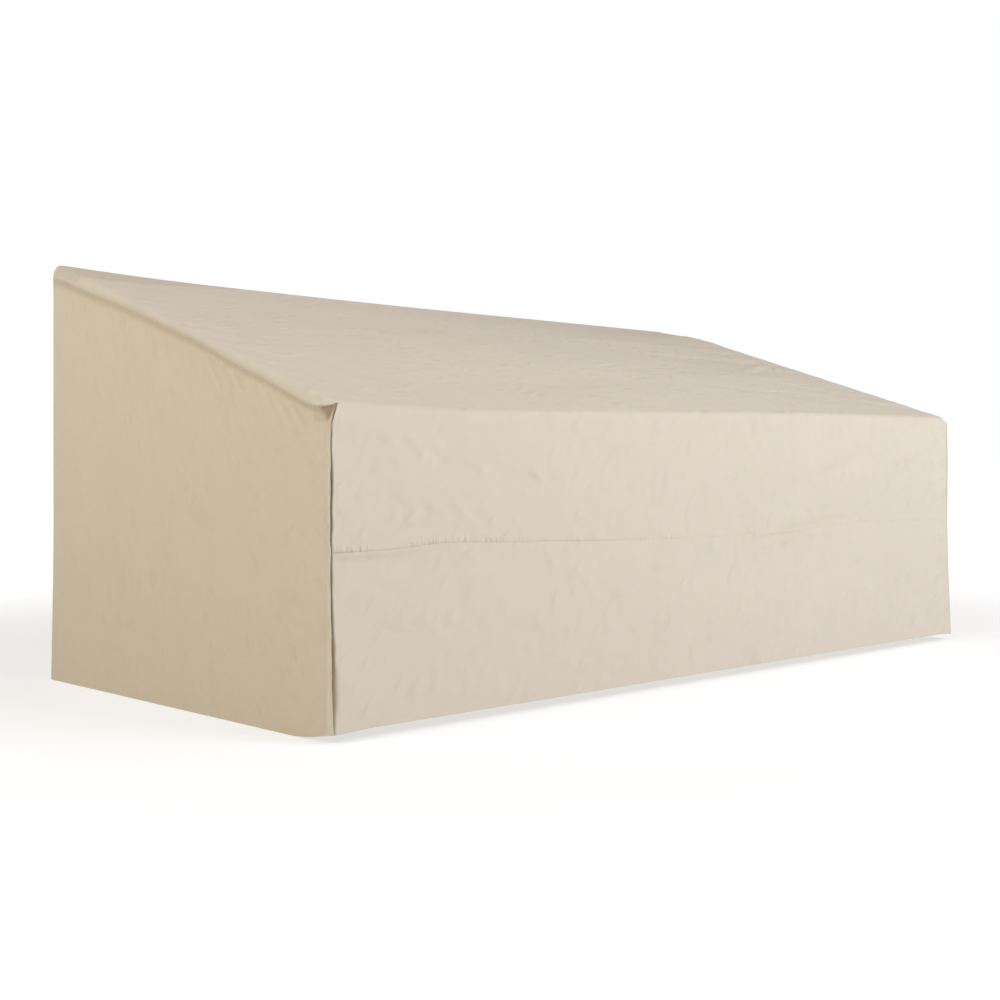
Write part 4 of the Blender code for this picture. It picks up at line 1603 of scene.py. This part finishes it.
@dataclass
class Studio:
    """A pale floor in soft light, lit up further out as a studio's backdrop is, and the camera."""

    floor_size: float = 60.0
    floor_z: float = -0.0005
    floor_colour: Colour = (0.42, 0.42, 0.42, 1.0)
    floor_roughness: float = 0.9
    floor_specular: float = 0.2
    near_glow: float = 0.62
    far_glow: float = 0.95
    glow_reach: tuple[float, float] = (1.2, 3.4)
    backdrop: Colour = (1.0, 1.0, 1.0, 1.0)
    ambient: float = 0.178
    ambient_colour: Colour = (1.0, 0.86, 0.72, 1.0)
    camera_place: Place = (-2.502, -2.4485, 0.482)
    camera_turn: float = -43.88
    sensor: float = 36.0
    lens: float = 53.02
    shift: tuple[float, float] = (-0.0005, -0.0459)
    skylight: Skylight = field(default_factory=Skylight)
    softboxes: list[Softbox] = field(
        default_factory=lambda: [
            Softbox("front_box", (1.6, -4.6, 4.0), (0.2, 0.0, 0.3), (3.0, 2.0), 147.0, (0.97, 0.955, 1.0)),
            Softbox("left_box", (-4.6, 0.1, 3.4), (-1.0, 0.0, 0.3), (2.6, 2.0), 104.0, (1.0, 0.98, 0.92)),
            Softbox("right_box", (1.7, -2.9, 1.5), (0.7, -0.5, 0.35), (1.6, 1.2), 14.0, (0.74, 0.835, 1.0)),
            Softbox(
                "over_front_box", (0.0, -1.1, 2.3), (-0.1, -0.15, 0.65), (1.2, 0.8), 5.5, (0.85, 0.93, 1.0)
            ),
        ]
    )

    def build(self) -> None:
        """Sets up the floor, the light and the camera."""
        self.lay_floor()
        self.light_world()
        self.skylight.build()
        for softbox in self.softboxes:
            softbox.build()
        self.place_camera()
        bpy.context.scene.view_settings.view_transform = "Standard"

    def lay_floor(self) -> None:
        """A wide pale floor, just below the hem."""
        deselect_all()
        bpy.ops.mesh.primitive_plane_add(size=self.floor_size, location=(0.0, 0.0, self.floor_z))
        floor = bpy.context.active_object
        floor.name = "floor"
        floor.data.materials.append(self.floor_paint())

    def floor_paint(self) -> bpy.types.Material:
        """Pale paint that glows, and a little more further out.

        Returns:
            The floor's material.
        """
        material = bpy.data.materials.new("pale_floor")
        material.use_nodes = True
        tree = material.node_tree
        distance = tree.nodes.new("ShaderNodeVectorMath")
        distance.operation = "LENGTH"
        feed(tree, distance, {0: tree.nodes.new("ShaderNodeTexCoord").outputs["Object"]})
        glow = tree.nodes.new("ShaderNodeMapRange")
        glow.interpolation_type = "SMOOTHSTEP"
        ends = {"From Min": self.glow_reach[0], "From Max": self.glow_reach[1]}
        glows = {"To Min": self.near_glow, "To Max": self.far_glow}
        feed(tree, glow, {"Value": distance.outputs["Value"], **ends, **glows})
        look = {
            "Base Color": self.floor_colour,
            "Roughness": self.floor_roughness,
            "Specular IOR Level": self.floor_specular,
            "Emission Color": (1.0, 1.0, 1.0, 1.0),
            "Emission Strength": glow.outputs["Result"],
        }
        feed(tree, tree.nodes["Principled BSDF"], look)
        return material

    def light_world(self) -> None:
        """Soft light from all round, in front of a white backdrop."""
        world = bpy.data.worlds.new("studio")
        bpy.context.scene.world = world
        world.use_nodes = True
        tree = world.node_tree
        around = {"Color": self.ambient_colour, "Strength": self.ambient}
        ambient = feed(tree, tree.nodes["Background"], around)
        backdrop = feed(tree, tree.nodes.new("ShaderNodeBackground"), {"Color": self.backdrop})
        seen = tree.nodes.new("ShaderNodeLightPath").outputs["Is Camera Ray"]
        shares = {"Fac": seen, 1: ambient.outputs["Background"], 2: backdrop.outputs["Background"]}
        mix = feed(tree, tree.nodes.new("ShaderNodeMixShader"), shares)
        feed(tree, tree.nodes["World Output"], {"Surface": mix.outputs["Shader"]})

    def place_camera(self) -> None:
        """The camera of the photo: level, and shifted rather than tilted."""
        data = bpy.data.cameras.new("camera")
        data.sensor_width = self.sensor
        data.lens = self.lens
        data.shift_x, data.shift_y = self.shift
        camera = bpy.data.objects.new("camera", data)
        bpy.context.scene.collection.objects.link(camera)
        camera.location = self.camera_place
        camera.rotation_euler = (math.radians(90.0), 0.0, math.radians(self.camera_turn))
        bpy.context.scene.camera = camera


# ---------------------------------------------------------------- the cover


@dataclass
class SofaCover:
    """The five sheets, sewn from canvas of one kind; the side and back sheets' darker, yellower tone is
    painted shade.
    """

    form: CoverForm = field(default_factory=CoverForm)
    front_finish: CanvasFinish = CanvasFinish(
        "canvas_front", (0.683, 0.613, 0.508, 1.0), 0.0052, crease_turn=-0.9
    )
    # A darker, yellower copy of the front's canvas: painted shade for the side and back walls.
    shaded_side_finish: CanvasFinish = CanvasFinish("canvas_side_painted_shade", (0.608, 0.518, 0.390, 1.0), 0.0054)

    def build(self) -> list[bpy.types.Object]:
        """Returns:
            The five pieces, the top one first.
        """
        form = self.form
        front, side = "cover_cloth_front", "cover_cloth_side"
        top = TopFrontSheet(form, "top_and_front_sheet", "top_front_panel", front, (2.04, 1.34), 2.66)
        lower = LowerFrontSheet(form, "lower_front_sheet", "lower_front_panel", front, (2.03, 0.33), 0.62)
        back = BackSheet(form, "back_sheet", "back_panel", side, (2.03, 0.88), 1.72)
        left = SideSheet(form, "left_side_sheet", "left_side_panel", side, (1.02, 0.88), 0.72, side=LEFT)
        right = SideSheet(form, "right_side_sheet", "right_side_panel", side, (1.02, 0.88), 0.72, side=RIGHT)
        pieces = []
        for sheet in (top, lower, left, right, back):
            finish = self.front_finish if sheet.slot == front else self.shaded_side_finish
            piece = sheet.build(finish)
            log.info("%s: %d faces", piece.name, len(piece.data.polygons))
            pieces.append(piece)
        return pieces


def write_sizes() -> None:
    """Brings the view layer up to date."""
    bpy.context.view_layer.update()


def main() -> None:
    """Builds the cover and the studio round it."""
    logging.basicConfig(level=logging.INFO, format="%(name)s: %(message)s")
    SofaCover().build()
    Studio().build()
    write_sizes()


if __name__ == "__main__":
    main()
